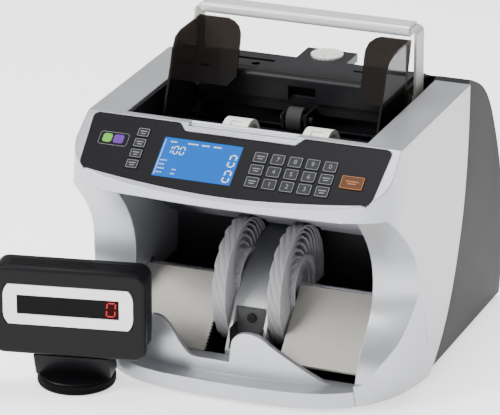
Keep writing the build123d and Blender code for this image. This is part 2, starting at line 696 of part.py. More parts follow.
def stacker_plate(s):
    """Brushed steel plate beside a stacker wheel; s is -1 for left and 1 for right."""
    (y0, z0), (y1, z1) = plate_line()
    pts = [(y0, z0), (y1, z1), (y1 + 4, z1 - 1), (y1 + 4, z1 - 9), (y1 + 2.5, z1 - 9)]
    pts += [(y1 + 2.2, z1 - 2.4), (y1 + 0.4, z1 - 2.0), (y0 + 0.7, z0 - 2.0)]
    a, b = s * (wheel_pitch + wheel_width / 2 + 2.5), s * (open_half - 0.5)
    return prism_x(pts, min(a, b), max(a, b))


def exit_chassis():
    """Black stacker well: floor, back wall and the ribs under the plates."""
    half = open_half - 0.5
    (y0, z0), (y1, z1) = plate_line()
    low = 12.0
    body = box(-half, half, -8, cavity_back - 1, low, low + 2.5)
    body += box(-half, half, cavity_back - 3.5, cavity_back - 1, low, 108)
    rib = [(-8, low), (-8, z0 + 1.9), (y1 - 3.4, z1 - 5.6), (y1 - 3.4, z1 - 12)]
    rib += [(cavity_back - 2, z1 - 12), (cavity_back - 2, low)]
    inner = wheel_pitch + wheel_width / 2 + 3.0
    for s in (-1, 1):
        for a, b in ((half - 2.3, half), (inner, inner + 2)):
            body += prism_x(rib, min(s * a, s * b), max(s * a, s * b))
        body -= rod_x(s * (inner - 1), s * (half + 1), shaft_y, shaft_z, 6)
    body += box(-60, 60, 60, 100, plate_z, low)
    return body


def centre_guide():
    """Ramp between the wheels with the sensor pocket at its foot."""
    half = wheel_pitch - wheel_width / 2 - 2.0
    outer = [(106, 112), (84, 109.5), (60, 101), (38, 89), (17, 70), (-3, 38), (-7, 31), (-7, 26)]
    inner = [(103.5, 109), (84, 106.5), (61, 98.5), (40, 87), (20, 69)]
    foot = [(30, 26), (30, 14.5), (106, 14.5)]
    body = prism_x(outer + foot, -half, half)
    body -= prism_x([(103.5, 106)] + inner + [(20, 20), (103.5, 20)], -half + 2.5, half - 2.5)
    body -= prism_x([(17, 66), (-30, 66), (-30, 32), (14, 32)], -half + 3, half - 3)
    body -= rod_x(-half - 1, half + 1, shaft_y, shaft_z, 6)
    body -= prism_x([(24, 10), (24, 22), (110, 22), (110, 10)], -half + 2.5, half - 2.5)
    return body + rod_y(13.5, 18, 0, 56, 3.2)


# ---- handle
def handle_bail():
    """Flat steel strip bent into a bail, with a stub pin at each foot."""
    inner, outer = bridge_half + 3.5, bridge_half + 6.0
    top = pivot_z + handle_reach
    w = 10.0
    body = box(-outer, outer, pivot_y - w, pivot_y + w, top - 1.25, top + 1.25)
    for s in (-1, 1):
        body += box(s * inner, s * outer, pivot_y - w, pivot_y + w, pivot_z, top + 1.25)
        body += rod_x(s * inner, s * outer, pivot_y, pivot_z, w)
    corners = body.edges().filter_by(Axis.Y).group_by(Axis.Z)[-1]
    body = fillet(corners, 6.0)
    for s in (-1, 1):
        body += rod_x(s * (bridge_half - 10), s * inner, pivot_y, pivot_z, 4)
        body += rod_x(s * (bridge_half + 0.4), s * inner, pivot_y, pivot_z, 6.5)
    return body


def handle_grip():
    """Pale moulded grip round the top of the bail."""
    half = bridge_half - 1.0
    top = pivot_z + handle_reach
    body = box(-half, half, pivot_y - 11.5, pivot_y + 11.5, top - 5.5, top + 4)
    body = fillet(body.edges().filter_by(Axis.X), 3.6)
    return body - box(-half - 1, half + 1, pivot_y - 10, pivot_y + 10, top - 1.25, top + 1.25)


# ---- power inlet and switch on the base upright
def inlet_hole():
    """Opening in the upright for the inlet body."""
    return box(-108, -80, back_depth - 30, back_depth, 26, 46)


def switch_hole():
    """Opening in the upright for the rocker switch."""
    return box(-64, -44, back_depth - 30, back_depth, 28, 44)


def power_inlet():
    """Mains inlet socket with its three blades, and the frame of the rocker switch."""
    y = back_depth - 12.5
    body = box(-110, -78, y, y + 2, 24, 48) + box(-107.9, -80.1, y - 16, y, 26.1, 45.9)
    body -= box(-106, -82, y - 13, y + 4, 28, 44)
    for x, z in ((-94, 39), (-100, 33.5), (-88, 33.5)):
        body += box(x - 1, x + 1, y - 14, y - 2, z - 2, z + 2)
    frame = box(-66, -42, y, y + 1.6, 26, 46) + box(-63.9, -44.1, y - 14, y, 28.1, 43.9)
    frame -= box(-62, -46, y - 12, y + 3, 30, 42)
    frame -= rod_x(-64.5, -43.5, y - 4, 36, 1.5 + run_gap)
    return [body, frame]


def power_switch():
    """Rocker of the mains switch on its pivot."""
    y = back_depth - 12.5
    pts = [(y - 8, 33.5), (y - 8, 38.5), (y + 3.0, 40.6), (y + 0.8, 36), (y + 1.6, 31.4)]
    return prism_x(pts, -61.6, -46.4) + rod_x(-63.7, -44.3, y - 4, 36, 1.5)


# ---- customer display
def on_stand(shape):
    """Moves a display piece from its own axes to its place beside the machine."""
    return Pos(display_at[0], display_at[1], 0) * Rot(0, 0, display_turn) * shape


head_low = 36.0
tilt_y, tilt_z = -14.0, 52.0


def head_block(y0, y1, t=0.0):
    """Part of the display head between two depths, inset by t."""
    w, front = display_width / 2, tilt_y - display_depth / 2
    high = head_low + display_height
    right = [(w - 4, head_low), (w, head_low + 6), (w, high - 14), (w - 4, high - 5), (w - 12, high)]
    pts = right + [(-x, z) for x, z in reversed(right)]
    body = prism_y(pts, front, front + display_depth)
    if t:
        body = offset(body, amount=-t, kind=Kind.INTERSECTION)
    else:
        body = fillet(body.faces().sort_by(Axis.Y)[0].edges(), 4.0)
        body = fillet(body.faces().sort_by(Axis.Y)[-1].edges(), 6.0)
    return body & box(-w, w, y0, y1, 0, 200)


def neck_opening():
    """Slot in the underside of the head where the neck comes in."""
    return box(-29.5, 29.5, tilt_y - 13, tilt_y + 13, head_low - 5, head_low + 8)


split_y = tilt_y - display_depth / 2 + 22.0
bezel_z = 83.6


def display_front_shell():
    """Front half of the display head."""
    front = tilt_y - display_depth / 2
    body = head_block(front, split_y) - head_block(front, split_y + 1, 2.5) - neck_opening()
    body -= bezel_form(front - 1, front + 1.6, seam)
    return body - box(-46, 46, front - 2, front + 4, bezel_z - 9.2, bezel_z + 9.2)


def display_rear_shell():
    """Rear half of the display head with the two tilt lugs."""
    back = tilt_y + display_depth / 2
    body = head_block(split_y, back) - head_block(split_y - 1, back, 2.5) - neck_opening()
    for s in (-1, 1):
        lug = box(s * 30, s * 34, tilt_y - 6, back - 2, tilt_z - 6, tilt_z + 6)
        body += lug - rod_x(s * 29, s * 35, tilt_y, tilt_z, 4 + run_gap)
    body -= rod_y(back - 5, back + 5, -40, head_low + 14, 5.0)
    for i in range(6):
        body -= box(-20, 20, back - 5, back + 5, head_low + 34 + 5 * i, head_low + 36 + 5 * i)
    return body


def bezel_form(y0, y1, grow=0.0):
    """White bezel blank with bowed short ends."""
    w, h = 58.0 + grow, 18.6 + grow
    bow = [(w - 4.5, h), (w - 1, h * 0.72), (w, 0), (w - 1, -h * 0.72), (w - 4.5, -h)]
    right = [(x, bezel_z + z) for x, z in bow]
    left = [(-x, z) for x, z in reversed(right)]
    plane = Plane(origin=(0, y1, 0), x_dir=(1, 0, 0), z_dir=(0, -1, 0))
    edges = [Spline(*right), Line(right[-1], left[0]), Spline(*left), Line(left[-1], right[0])]
    return extrude(face_of(*edges, plane=plane), amount=y1 - y0)


def display_bezel():
    """White bezel round the display window."""
    front = tilt_y - display_depth / 2
    opening = box(-45.7, 45.7, front - 3, front + 3, bezel_z - 8.9, bezel_z + 8.9)
    return bezel_form(front - 0.6, front + 1.6) - opening


def display_window():
    """Dark window over the digits."""
    front = tilt_y - display_depth / 2
    body = box(-45.6, 45.6, front + 0.2, front + 1.6, bezel_z - 8.8, bezel_z + 8.8)
    return body + box(-45.9, 45.9, front + 1.6, front + 3, bezel_z - 9.1, bezel_z + 9.1)


def display_stand():
    """Weighted round base, neck and tilt pin."""
    base = fillet(rod_z(0, 12, 0, 0, 35).edges().sort_by(Axis.Z)[-1], 4.0)
    upper = [(-13, 10), (13, 10), (-3, head_low - 8), (tilt_y + 7, head_low - 2), (tilt_y + 7, tilt_z)]
    upper += [(tilt_y - 7, tilt_z), (tilt_y - 7, head_low - 2), (-24, head_low - 8)]
    neck = prism_x(upper, -28, 28)
    side = [(-14, 10), (14, 10), (5, head_low - 5.6), (-6, head_low - 4.4)]
    side += [(-16, head_low - 2.6), (-24, head_low - 2.6)]
    neck += prism_x(side, -34, 34)
    neck += rod_x(-28, 28, tilt_y, tilt_z, 8)
    return base + neck + rod_x(-35.5, 35.5, tilt_y, tilt_z, 4)


# ---- export
def nodes():
    """Every node by name."""
    out = {
        "base_tray": base_tray(),
        "rubber_feet": rubber_feet(),
        "side_frame_left": side_frame(-1),
        "side_frame_right": side_frame(1),
        "main_housing": main_housing(),
        "stacker_nose": stacker_nose(),
        "rear_cover": rear_cover(),
        "cover_screws": cover_screws(),
        "control_panel": control_panel(),
        "lcd_window": lcd_window(),
        "main_board": main_board(),
        "hopper_tray": hopper_tray(),
        "hopper_bridge": hopper_bridge(),
        "guide_left": guide(-1),
        "guide_right": guide(1),
        "feed_gap_knob": feed_gap_knob(),
        "feed_shaft": feed_shaft(),
        "feed_wheels": feed_wheels(),
        "retard_roller": retard_roller(),
        "transport_roller": transport_roller(),
        "stacker_shaft": stacker_shaft(),
        "stacker_wheel_left": stacker_wheel(-wheel_pitch),
        "stacker_wheel_right": stacker_wheel(wheel_pitch),
        "upper_guide_plate": upper_guide_plate(),
        "stacker_plate_left": stacker_plate(-1),
        "stacker_plate_right": stacker_plate(1),
        "centre_guide": centre_guide(),
        "exit_chassis": exit_chassis(),
        "drive_motor": drive_motor(),
        "motor_rotor": motor_rotor(),
        "drive_belt": drive_belt(),
        "power_inlet": power_inlet(),
        "power_switch": power_switch(),
        "handle_bail": handle_bail(),
        "handle_grip": handle_grip(),
    }
    for name, x, t, w, h in key_places():
        out[name] = key(x, t, w, h)
    display = {
        "display_front_shell": display_front_shell(),
        "display_rear_shell": display_rear_shell(),
        "display_bezel": display_bezel(),
        "display_window": display_window(),
        "display_stand": display_stand(),
    }
    out.update({name: on_stand(shape) for name, shape in display.items()})
    return out


def as_compound(shape):
    """One compound of plain solids, ready to export."""
    pieces = shape if isinstance(shape, list) else [shape]
    return Compound(children=[s for p in pieces for s in p.solids()])


os.makedirs("parts", exist_ok=True)
made = {name: as_compound(shape) for name, shape in nodes().items()}
whole = Compound(children=[s for c in made.values() for s in c.solids()]).bounding_box()
centre = Pos(-(whole.min.X + whole.max.X) / 2, -(whole.min.Y + whole.max.Y) / 2, -whole.min.Z)
for name, shape in made.items():
    export_step(centre * shape, f"parts/{name}.step")
    print(name, len(shape.solids()), round(shape.volume / 1000, 1))
print("shift", *[round(v, 6) for v in centre.position], "nodes", len(made))
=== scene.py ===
import logging
from dataclasses import dataclass, field
from enum import Enum
from math import cos, pi, radians, sin

import bpy
from mathutils import Matrix, Vector


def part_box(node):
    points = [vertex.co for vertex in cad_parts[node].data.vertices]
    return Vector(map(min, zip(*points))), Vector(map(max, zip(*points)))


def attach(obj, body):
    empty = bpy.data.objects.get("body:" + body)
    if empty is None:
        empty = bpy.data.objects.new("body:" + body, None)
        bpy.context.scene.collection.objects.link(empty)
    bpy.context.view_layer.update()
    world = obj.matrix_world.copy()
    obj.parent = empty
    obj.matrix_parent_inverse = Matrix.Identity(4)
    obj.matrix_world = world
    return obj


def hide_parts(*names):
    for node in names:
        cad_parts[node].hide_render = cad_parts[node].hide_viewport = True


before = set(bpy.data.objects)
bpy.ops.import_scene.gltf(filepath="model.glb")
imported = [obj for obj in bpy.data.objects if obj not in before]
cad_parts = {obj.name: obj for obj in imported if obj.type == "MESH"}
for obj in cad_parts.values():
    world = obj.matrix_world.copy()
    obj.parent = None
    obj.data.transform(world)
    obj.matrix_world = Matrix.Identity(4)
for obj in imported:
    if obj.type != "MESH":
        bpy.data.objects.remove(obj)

logging.basicConfig(level=logging.INFO, format="%(message)s")
log = logging.getLogger("banknote_counter")

MM = 0.001
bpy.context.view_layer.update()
Color = tuple[float, float, float]


# ---------------------------------------------------------------- places read from the frame
@dataclass(frozen=True)
class Layout:
    """Where the machine stands in the row frame.

    Args:
        origin: The machine's middle plane, the hopper's inner front face and the floor, in metres.
        slope: Slope of the control panel, in radians.
        panel_top: Y and Z of the panel's top edge from the origin, in mm.
    """

    origin: Vector
    slope: float = radians(36.0)
    panel_top: tuple[float, float] = (-8.0, 239.0)

    @classmethod
    def from_frame(cls) -> "Layout":
        """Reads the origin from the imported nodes.

        Returns:
            The layout of the machine as it was packed.
        """
        low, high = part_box("control_panel")
        tray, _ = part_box("hopper_tray")
        return cls(Vector(((low.x + high.x) / 2, tray.y - 0.3 * MM, 0.0)))

    def at(self, x: float, y: float, z: float) -> Vector:
        """Turns a place on the machine into the row frame.

        Args:
            x, y, z: The place in mm, from the machine's own origin.

        Returns:
            The same place in metres.
        """
        return self.origin + Vector((x, y, z)) * MM

    def on_panel(self, x: float, down: float, lift: float = 0.0) -> Matrix:
        """Drawing plane of the control panel, its Y up the slope and its Z off the surface.

        Args:
            x: Place across the panel, in mm.
            down: Distance below the top edge along the slope, in mm.
            lift: Height above the surface, in mm.

        Returns:
            The matrix that carries a flat drawing to that place.
        """
        c, s = cos(self.slope), sin(self.slope)
        up, out = Vector((0, c, s)), Vector((0, -s, c))
        place = self.at(x, *self.panel_top) - up * down * MM + out * lift * MM
        return axes_matrix(Vector((1, 0, 0)), up, out, place)


@dataclass(frozen=True)
class DisplayPlace:
    """Where the customer display stands beside the machine.

    Args:
        layout: The machine's layout.
        stand: X and Y of the round base's middle, in mm.
        turn: Turn of the display about the vertical, in radians.
    """

    layout: Layout
    stand: tuple[float, float] = (-140.0, -54.0)
    turn: float = radians(11.2)

    def on_face(self, x: float, y: float, z: float) -> Matrix:
        """Drawing plane on the front of the head, its Y upwards and its Z towards the viewer.

        Args:
            x, y, z: Place in the display's own axes, in mm.

        Returns:
            The matrix that carries a flat drawing to that place.
        """
        c, s = cos(self.turn), sin(self.turn)
        place = self.layout.at(self.stand[0] + x * c - y * s, self.stand[1] + x * s + y * c, z)
        return axes_matrix(Vector((c, s, 0)), Vector((0, 0, 1)), Vector((s, -c, 0)), place)


def axes_matrix(x: Vector, y: Vector, z: Vector, place: Vector) -> Matrix:
    """Builds a placing matrix from three axes and an origin.

    Args:
        x, y, z: The axes as unit vectors.
        place: The origin, in metres.

    Returns:
        A 4 by 4 matrix.
    """
    turned = Matrix((x, y, z)).transposed().to_4x4()
    return Matrix.Translation(place) @ turned


# ---------------------------------------------------------------- materials
class Grain(Enum):
    """Surface structure of a finish."""

    MOULDED = "moulded"
    PAINTED = "painted"
    BRUSHED = "brushed"
    SMOOTH = "smooth"

    @property
    def spread(self) -> float:
        """Share by which the fine structure darkens the colour."""
        return 0.16 if self is Grain.PAINTED else 0.10


class Graph:
    """Node tree of one material while it is being wired."""

    MIX_SHARE, MIX_FIRST, MIX_SECOND, MIX_RESULT = 0, 6, 7, 2

    def __init__(self, name: str) -> None:
        self.material = bpy.data.materials.new(name)
        self.material.use_nodes = True
        self.tree = self.material.node_tree
        self.shader = self.tree.nodes["Principled BSDF"]
        self.place = self.add("ShaderNodeTexCoord").outputs["Object"]

    def add(self, kind: str, **sockets: object) -> bpy.types.Node:
        """Adds a node and feeds its inputs.

        Args:
            kind: Blender's name of the node type.
            sockets: Values or sockets by input name, with underscores for spaces.

        Returns:
            The new node.
        """
        node = self.tree.nodes.new(kind)
        for name, value in sockets.items():
            self.feed(node, name.replace("_", " "), value)
        return node

    def feed(self, node: bpy.types.Node, name: str | int, value: object) -> None:
        """Sets an input to a constant or links a socket to it.

        Args:
            node: The node to feed.
            name: Name or index of the input.
            value: A constant or another node's output.
        """
        if isinstance(value, bpy.types.NodeSocket):
            self.tree.links.new(value, node.inputs[name])
        else:
            node.inputs[name].default_value = value

    def noise(self, scale: float, detail: float = 3.0, stretch: Vector | None = None) -> bpy.types.NodeSocket:
        """Noise on object coordinates.

        Args:
            scale: Waves per metre.
            detail: Octaves.
            stretch: Factor along each axis, for brushed surfaces.

        Returns:
            The noise value's socket.
        """
        place = self.place
        if stretch is not None:
            mapping = self.add("ShaderNodeMapping", Vector=place)
            self.feed(mapping, "Scale", stretch)
            place = mapping.outputs[0]
        node = self.add("ShaderNodeTexNoise", Vector=place, Scale=scale, Detail=detail)
        return node.outputs["Fac"]

    def spread(self, value: bpy.types.NodeSocket, low: float, high: float) -> bpy.types.NodeSocket:
        """Maps a 0 to 1 value to another range.

        Args:
            value: The value's socket.
            low, high: The range to map to.

        Returns:
            The mapped value's socket.
        """
        node = self.add("ShaderNodeMapRange", Value=value)
        self.feed(node, "To Min", low)
        self.feed(node, "To Max", high)
        return node.outputs["Result"]

    def mix(self, share: bpy.types.NodeSocket | float, first: Color, second: Color) -> bpy.types.NodeSocket:
        """Mixes two colours.

        Args:
            share: Share of the second colour.
            first, second: The colours.

        Returns:
            The colour's socket.
        """
        node = self.tree.nodes.new("ShaderNodeMix")
        node.data_type = "RGBA"
        self.feed(node, self.MIX_SHARE, share)
        self.feed(node, self.MIX_FIRST, (*first, 1.0))
        self.feed(node, self.MIX_SECOND, (*second, 1.0))
        return node.outputs[self.MIX_RESULT]


@dataclass(frozen=True)
class Finish:
    """A solid surface finish.

    Args:
        name: Name of the material.
        color: Base colour.
        roughness: Mean roughness.
        grain: Structure of the surface.
        metallic: Metal share.
        coat: Clear coat weight.
        scale: Waves per metre of the fine structure.
        depth: Height of the fine structure, in metres.
        edge: Radius of the softened edges, in metres.
        shine: Level of the reflection.
        along: Stretch of a brushed surface along each axis.
    """

    name: str
    color: Color
    roughness: float
    grain: Grain = Grain.MOULDED
    metallic: float = 0.0
    coat: float = 0.0
    scale: float = 1800.0
    depth: float = 0.00003
    edge: float = 0.0005
    shine: float = 0.5
    along: tuple[float, float, float] = (1.0, 1.0, 1.0)

    def shade(self, graph: Graph) -> bpy.types.NodeSocket:
        """Base colour of the finish, with its slow and fine variation.

        Args:
            graph: The material being wired.

        Returns:
            The colour's socket.
        """
        spread = self.grain.spread
        dark = tuple(c * (1 - spread) for c in self.color)
        light = tuple(min(1.0, c * (1 + spread / 2)) for c in self.color)
        fine = graph.noise(self.scale, 2.0, Vector(self.along))
        return graph.mix(fine, dark, light)

    def build(self) -> bpy.types.Material:
        """Wires the material.

        Returns:
            The finished material.
        """
        graph = Graph(self.name)
        shader = graph.shader
        graph.feed(shader, "Base Color", self.shade(graph))
        graph.feed(shader, "Metallic", self.metallic)
        graph.feed(shader, "Specular IOR Level", self.shine)
        slow = graph.noise(14.0, 4.0)
        graph.feed(shader, "Roughness", graph.spread(slow, self.roughness - 0.05, self.roughness + 0.07))
        if self.coat:
            graph.feed(shader, "Coat Weight", self.coat)
            graph.feed(shader, "Coat Roughness", 0.18)
        soft = graph.add("ShaderNodeBevel", Radius=self.edge)
        soft.samples = 4
        fine = graph.noise(self.scale, 3.0, Vector(self.along))
        bump = graph.add("ShaderNodeBump", Height=fine, Distance=self.depth, Strength=0.6)
        graph.feed(bump, "Normal", soft.outputs[0])
        graph.feed(shader, "Normal", bump.outputs[0])
        return graph.material


@dataclass(frozen=True)
class PaintedShadeFinish(Finish):
    """A finish whose colour fades to another one along an axis, painting shade into the colour.

    Args:
        other: Colour at the far end.
        axis: Axis of the fade, 0 to 2.
        start, stop: Ends of the fade, in metres.
    """

    other: Color = (0.1, 0.1, 0.1)
    axis: int = 2
    start: float = 0.0
    stop: float = 1.0

    def shade(self, graph: Graph) -> bpy.types.NodeSocket:
        """Base colour with painted shade faded in along the axis.

        Args:
            graph: The material being wired.

        Returns:
            The colour's socket.
        """
        split = graph.add("ShaderNodeSeparateXYZ", Vector=graph.place)
        ramp = graph.add("ShaderNodeMapRange", Value=split.outputs[self.axis])
        ramp.interpolation_type = "SMOOTHSTEP"
        graph.feed(ramp, "From Min", self.start)
        graph.feed(ramp, "From Max", self.stop)
        return graph.mix(ramp.outputs["Result"], self.color, self.other)


@dataclass(frozen=True)
class ClearFinish:
    """See-through plastic with a tint.

    Args:
        name: Name of the material.
        color: Tint.
        clearness: Share of light let through.
        roughness: Roughness of the surface.
    """

    name: str
    color: Color
    clearness: float
    roughness: float

    def build(self) -> bpy.types.Material:
        """Wires the material.

        Returns:
            The finished material.
        """
        graph = Graph(self.name)
        shader = graph.shader
        haze = graph.noise(40.0, 3.0)
        dark = tuple(c * 0.8 for c in self.color)
        graph.feed(shader, "Base Color", graph.mix(haze, dark, self.color))
        graph.feed(shader, "Transmission Weight", self.clearness)
        graph.feed(shader, "Roughness", graph.spread(haze, self.roughness, self.roughness + 0.06))
        graph.feed(shader, "IOR", 1.49)
        return graph.material


@dataclass(frozen=True)
class GlowFinish:
    """A lit surface.

    Args:
        name: Name of the material.
        color: Colour of the light.
        strength: Strength of the light.
        unevenness: Share by which the light varies over the surface.
    """

    name: str
    color: Color
    strength: float
    unevenness: float = 0.15

    def build(self) -> bpy.types.Material:
        """Wires the material.

        Returns:
            The finished material.
        """
        graph = Graph(self.name)
        shader = graph.shader
        dim = tuple(c * (1 - self.unevenness) for c in self.color)
        light = graph.mix(graph.noise(25.0, 2.0), dim, self.color)
        graph.feed(shader, "Base Color", tuple(c * 0.3 for c in self.color) + (1.0,))
        graph.feed(shader, "Emission Color", light)
        graph.feed(shader, "Emission Strength", self.strength)
        graph.feed(shader, "Roughness", 0.2)
        graph.feed(shader, "Specular IOR Level", 0.05)
        return graph.material


@dataclass
class Palette:
    """All the finishes of the machine, built once.

    Args:
        layout: The machine's layout, for the finishes whose painted shade fades from place to place.
    """

    layout: Layout
    made: dict[str, bpy.types.Material] = field(default_factory=dict)

    def finishes(self) -> list[Finish | ClearFinish | GlowFinish]:
        """Lists every finish.

        Returns:
            The finishes, each named after what it covers.
        """
        at = self.layout.at
        return [
            Finish("silver_paint", (0.50, 0.51, 0.54), 0.33, Grain.PAINTED, 0.7, 0.2, 5000.0, 0.000004,
                   edge=0.0016),
            Finish("charcoal_cover", (0.011, 0.011, 0.0125), 0.55, scale=2600.0, depth=0.00006, edge=0.001,
                   shine=0.2),
            Finish("black_panel", (0.0045, 0.0045, 0.006), 0.42, scale=3200.0, depth=0.00001, edge=0.0004,
                   shine=0.12),
            Finish("circuit_board", (0.02, 0.16, 0.07), 0.4, Grain.SMOOTH),
            Finish("black_plastic", (0.007, 0.007, 0.009), 0.36, depth=0.00002, edge=0.0008, shine=0.3),
            ClearFinish("smoked_plastic", (0.022, 0.016, 0.013), 0.6, 0.07),
            Finish("white_plastic", (0.80, 0.79, 0.75), 0.36, edge=0.0008),
            Finish("roller_rubber", (0.020, 0.020, 0.020), 0.75, scale=1200.0, depth=0.00008),
            Finish("drive_rubber", (0.028, 0.028, 0.028), 0.7, scale=1400.0, depth=0.00006),
            Finish("steel_shaft", (0.62, 0.62, 0.63), 0.28, Grain.BRUSHED, 1.0, along=(0.05, 1.0, 1.0)),
            Finish("wheel_grey", (0.34, 0.34, 0.35), 0.42, scale=1500.0, depth=0.00002, edge=0.0003),
            # Painted shade: the roof is painted near black at its left end and lightens to grey further
            # right.
            PaintedShadeFinish("roof_grey_painted_shade", (0.06, 0.06, 0.075), 0.36, metallic=0.3, edge=0.0008,
                        other=(0.42, 0.41, 0.47), axis=0, start=at(-92, 0, 0).x, stop=at(-60, 0, 0).x),
            # Painted shade: the centre ramp is light grey at its foot and painted near black towards its top.
            PaintedShadeFinish("ramp_grey_painted_shade", (0.50, 0.51, 0.51), 0.38, metallic=0.25, edge=0.0008,
                        other=(0.085, 0.09, 0.095), axis=2, start=at(0, 0, 48).z, stop=at(0, 0, 104).z),
            Finish("brushed_plate", (0.34, 0.33, 0.295), 0.42, Grain.BRUSHED, 0.7, scale=900.0, depth=0.00002,
                   along=(1.0, 0.02, 0.02)),
            Finish("sheet_steel", (0.45, 0.46, 0.47), 0.42, Grain.BRUSHED, 0.9),
            Finish("socket_black", (0.018, 0.018, 0.018), 0.45, edge=0.0003),
            Finish("handle_steel", (0.56, 0.545, 0.50), 0.42, Grain.PAINTED, 0.2, scale=2600.0,
                   depth=0.00002),
            Finish("handle_grip", (0.66, 0.67, 0.70), 0.32, Grain.PAINTED, 0.3, 0.3, 4200.0, 0.000005,
                   edge=0.0012),
            Finish("display_plastic", (0.0036, 0.0038, 0.0045), 0.40, scale=2400.0, depth=0.00004,
                   edge=0.0008, shine=0.14),
            Finish("display_white", (0.86, 0.87, 0.88), 0.38, Grain.SMOOTH, scale=1500.0, depth=0.00001),
            Finish("display_window", (0.0035, 0.0035, 0.0042), 0.3, Grain.SMOOTH, depth=0.000004, shine=0.06),
            Finish("key_plastic", (0.014, 0.0145, 0.017), 0.42, scale=2600.0, depth=0.00002, edge=0.0004,
                   shine=0.2),
            Finish("restart_plastic", (0.075, 0.022, 0.005), 0.42, scale=2600.0, depth=0.00002, shine=0.2),
            Finish("key_print", (0.20, 0.205, 0.215), 0.45, Grain.SMOOTH, shine=0.2),
            Finish("restart_print", (0.42, 0.17, 0.05), 0.45, Grain.SMOOTH, shine=0.2),
            Finish("badge_green", (0.10, 0.36, 0.04), 0.4, Grain.SMOOTH, shine=0.2),
            Finish("badge_violet", (0.10, 0.02, 0.26), 0.4, Grain.SMOOTH, shine=0.2),
            # Painted shade for the sheets in the sensor pocket.
            Finish("painted_pocket_shade", (0.035, 0.036, 0.038), 0.42, scale=2000.0, depth=0.00002),
            Finish("sensor_black", (0.0015, 0.0015, 0.002), 0.25, Grain.SMOOTH, shine=0.15),
            GlowFinish("screen_blue", (0.012, 0.15, 0.62), 0.95, 0.25),
            GlowFinish("screen_white", (0.80, 0.92, 1.0), 1.1),
            GlowFinish("digit_field", (0.040, 0.0005, 0.0008), 0.9, 0.1),
            GlowFinish("digit_red", (0.55, 0.05, 0.06), 1.0, 0.1),
        ]

    def build(self) -> None:
        """Builds every finish."""
        for finish in self.finishes():
            self.made[finish.name] = finish.build()
            log.info("finish %s", finish.name)

    def dress(self, piece: bpy.types.Object, name: str) -> None:
        """Puts one finish on all of a piece.

        Args:
            piece: The object to cover.
            name: Name of the finish.
        """
        piece.data.materials.clear()
        piece.data.materials.append(self.made[name])


# ---------------------------------------------------------------- modelling helpers
def deselect() -> None:
    """Leaves nothing selected."""
    bpy.ops.object.select_all(action="DESELECT")


def activate(piece: bpy.types.Object) -> None:
    """Selects one piece only and makes it active.

    Args:
        piece: The object to work on.
    """
    deselect()
    piece.select_set(True)
    bpy.context.view_layer.objects.active = piece


def plate(name: str, width: float, height: float, radius: float, thick: float,
          line: float = 0.0) -> bpy.types.Object:
    """Flat plate or ring with round corners, lying in XY with its back on Z = 0.

    Args:
        name: Name of the piece.
        width, height: Outer size, in mm.
        radius: Corner radius, in mm.
        thick: Thickness, in mm.
        line: Width of the ring, or 0 for a full plate, in mm.

    Returns:
        The new object.
    """
    deselect()
    bpy.ops.mesh.primitive_plane_add(size=1.0)
    piece = bpy.context.object
    piece.name = name
    bpy.ops.object.mode_set(mode="EDIT")
    bpy.ops.transform.resize(value=(width * MM, height * MM, 1.0))
    if radius:
        bpy.ops.mesh.bevel(affect="VERTICES", offset=radius * MM, segments=4)
    if line:
        bpy.ops.mesh.inset(thickness=line * MM)
        bpy.ops.mesh.delete(type="FACE")
        bpy.ops.mesh.select_all(action="SELECT")
    bpy.ops.mesh.extrude_region_move(TRANSFORM_OT_translate={"value": (0, 0, thick * MM)})
    bpy.ops.mesh.select_all(action="SELECT")
    bpy.ops.mesh.normals_make_consistent(inside=False)
    bpy.ops.object.mode_set(mode="OBJECT")
    return piece


def soft_box(name: str, size: tuple[float, float, float], centre: Vector, radius: float) -> bpy.types.Object:
    """Box with rounded edges.

    Args:
        name: Name of the piece.
        size: Size along each axis, in mm.
        centre: Middle of the box, in metres.
        radius: Radius of the edges, in mm.

    Returns:
        The new object.
    """
    deselect()
    bpy.ops.mesh.primitive_cube_add(size=1.0)
    piece = bpy.context.object
    piece.name = name
    bpy.ops.object.mode_set(mode="EDIT")
    bpy.ops.transform.resize(value=tuple(s * MM for s in size))
    bpy.ops.mesh.bevel(offset=radius * MM, segments=3, affect="EDGES")
    bpy.ops.object.mode_set(mode="OBJECT")
    piece.data.transform(Matrix.Translation(centre))
    return piece


def joined(pieces: list[bpy.types.Object], name: str) -> bpy.types.Object:
    """Joins pieces into one.

    Args:
        pieces: The objects to join.
        name: Name of the result.

    Returns:
        The joined object.
    """
    deselect()
    for piece in pieces:
        piece.select_set(True)
    bpy.context.view_layer.objects.active = pieces[0]
    bpy.ops.object.join()
    result = bpy.context.object
    result.name = name
    return result


def smooth(piece: bpy.types.Object, angle: float = 35.0) -> None:
    """Shades a piece smooth except across sharp edges.

    Args:
        piece: The object to shade.
        angle: Largest angle that stays smooth, in degrees.
    """
    activate(piece)
    bpy.ops.object.shade_smooth_by_angle(angle=radians(angle))


def refined(node: str, palette: Palette, finish: str, body: str, angle: float = 30.0) -> bpy.types.Object:
    """Clean smooth-shaded copy of a CAD node, which it replaces.

    Args:
        node: Name of the node.
        palette: The finishes.
        finish: Name of the finish.
        body: Body that the piece rides on.
        angle: Largest angle that is shaded smooth, in degrees.

    Returns:
        The new object.
    """
    deselect()
    piece = bpy.data.objects.new(node + "_surface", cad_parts[node].data.copy())
    bpy.context.scene.collection.objects.link(piece)
    activate(piece)
    bpy.ops.mesh.customdata_custom_splitnormals_clear()
    bpy.ops.object.mode_set(mode="EDIT")
    bpy.ops.mesh.select_all(action="SELECT")
    bpy.ops.mesh.remove_doubles(threshold=0.002 * MM)
    bpy.ops.object.mode_set(mode="OBJECT")
    smooth(piece, angle)
    palette.dress(piece, finish)
    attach(piece, body)
    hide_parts(node)
    return piece


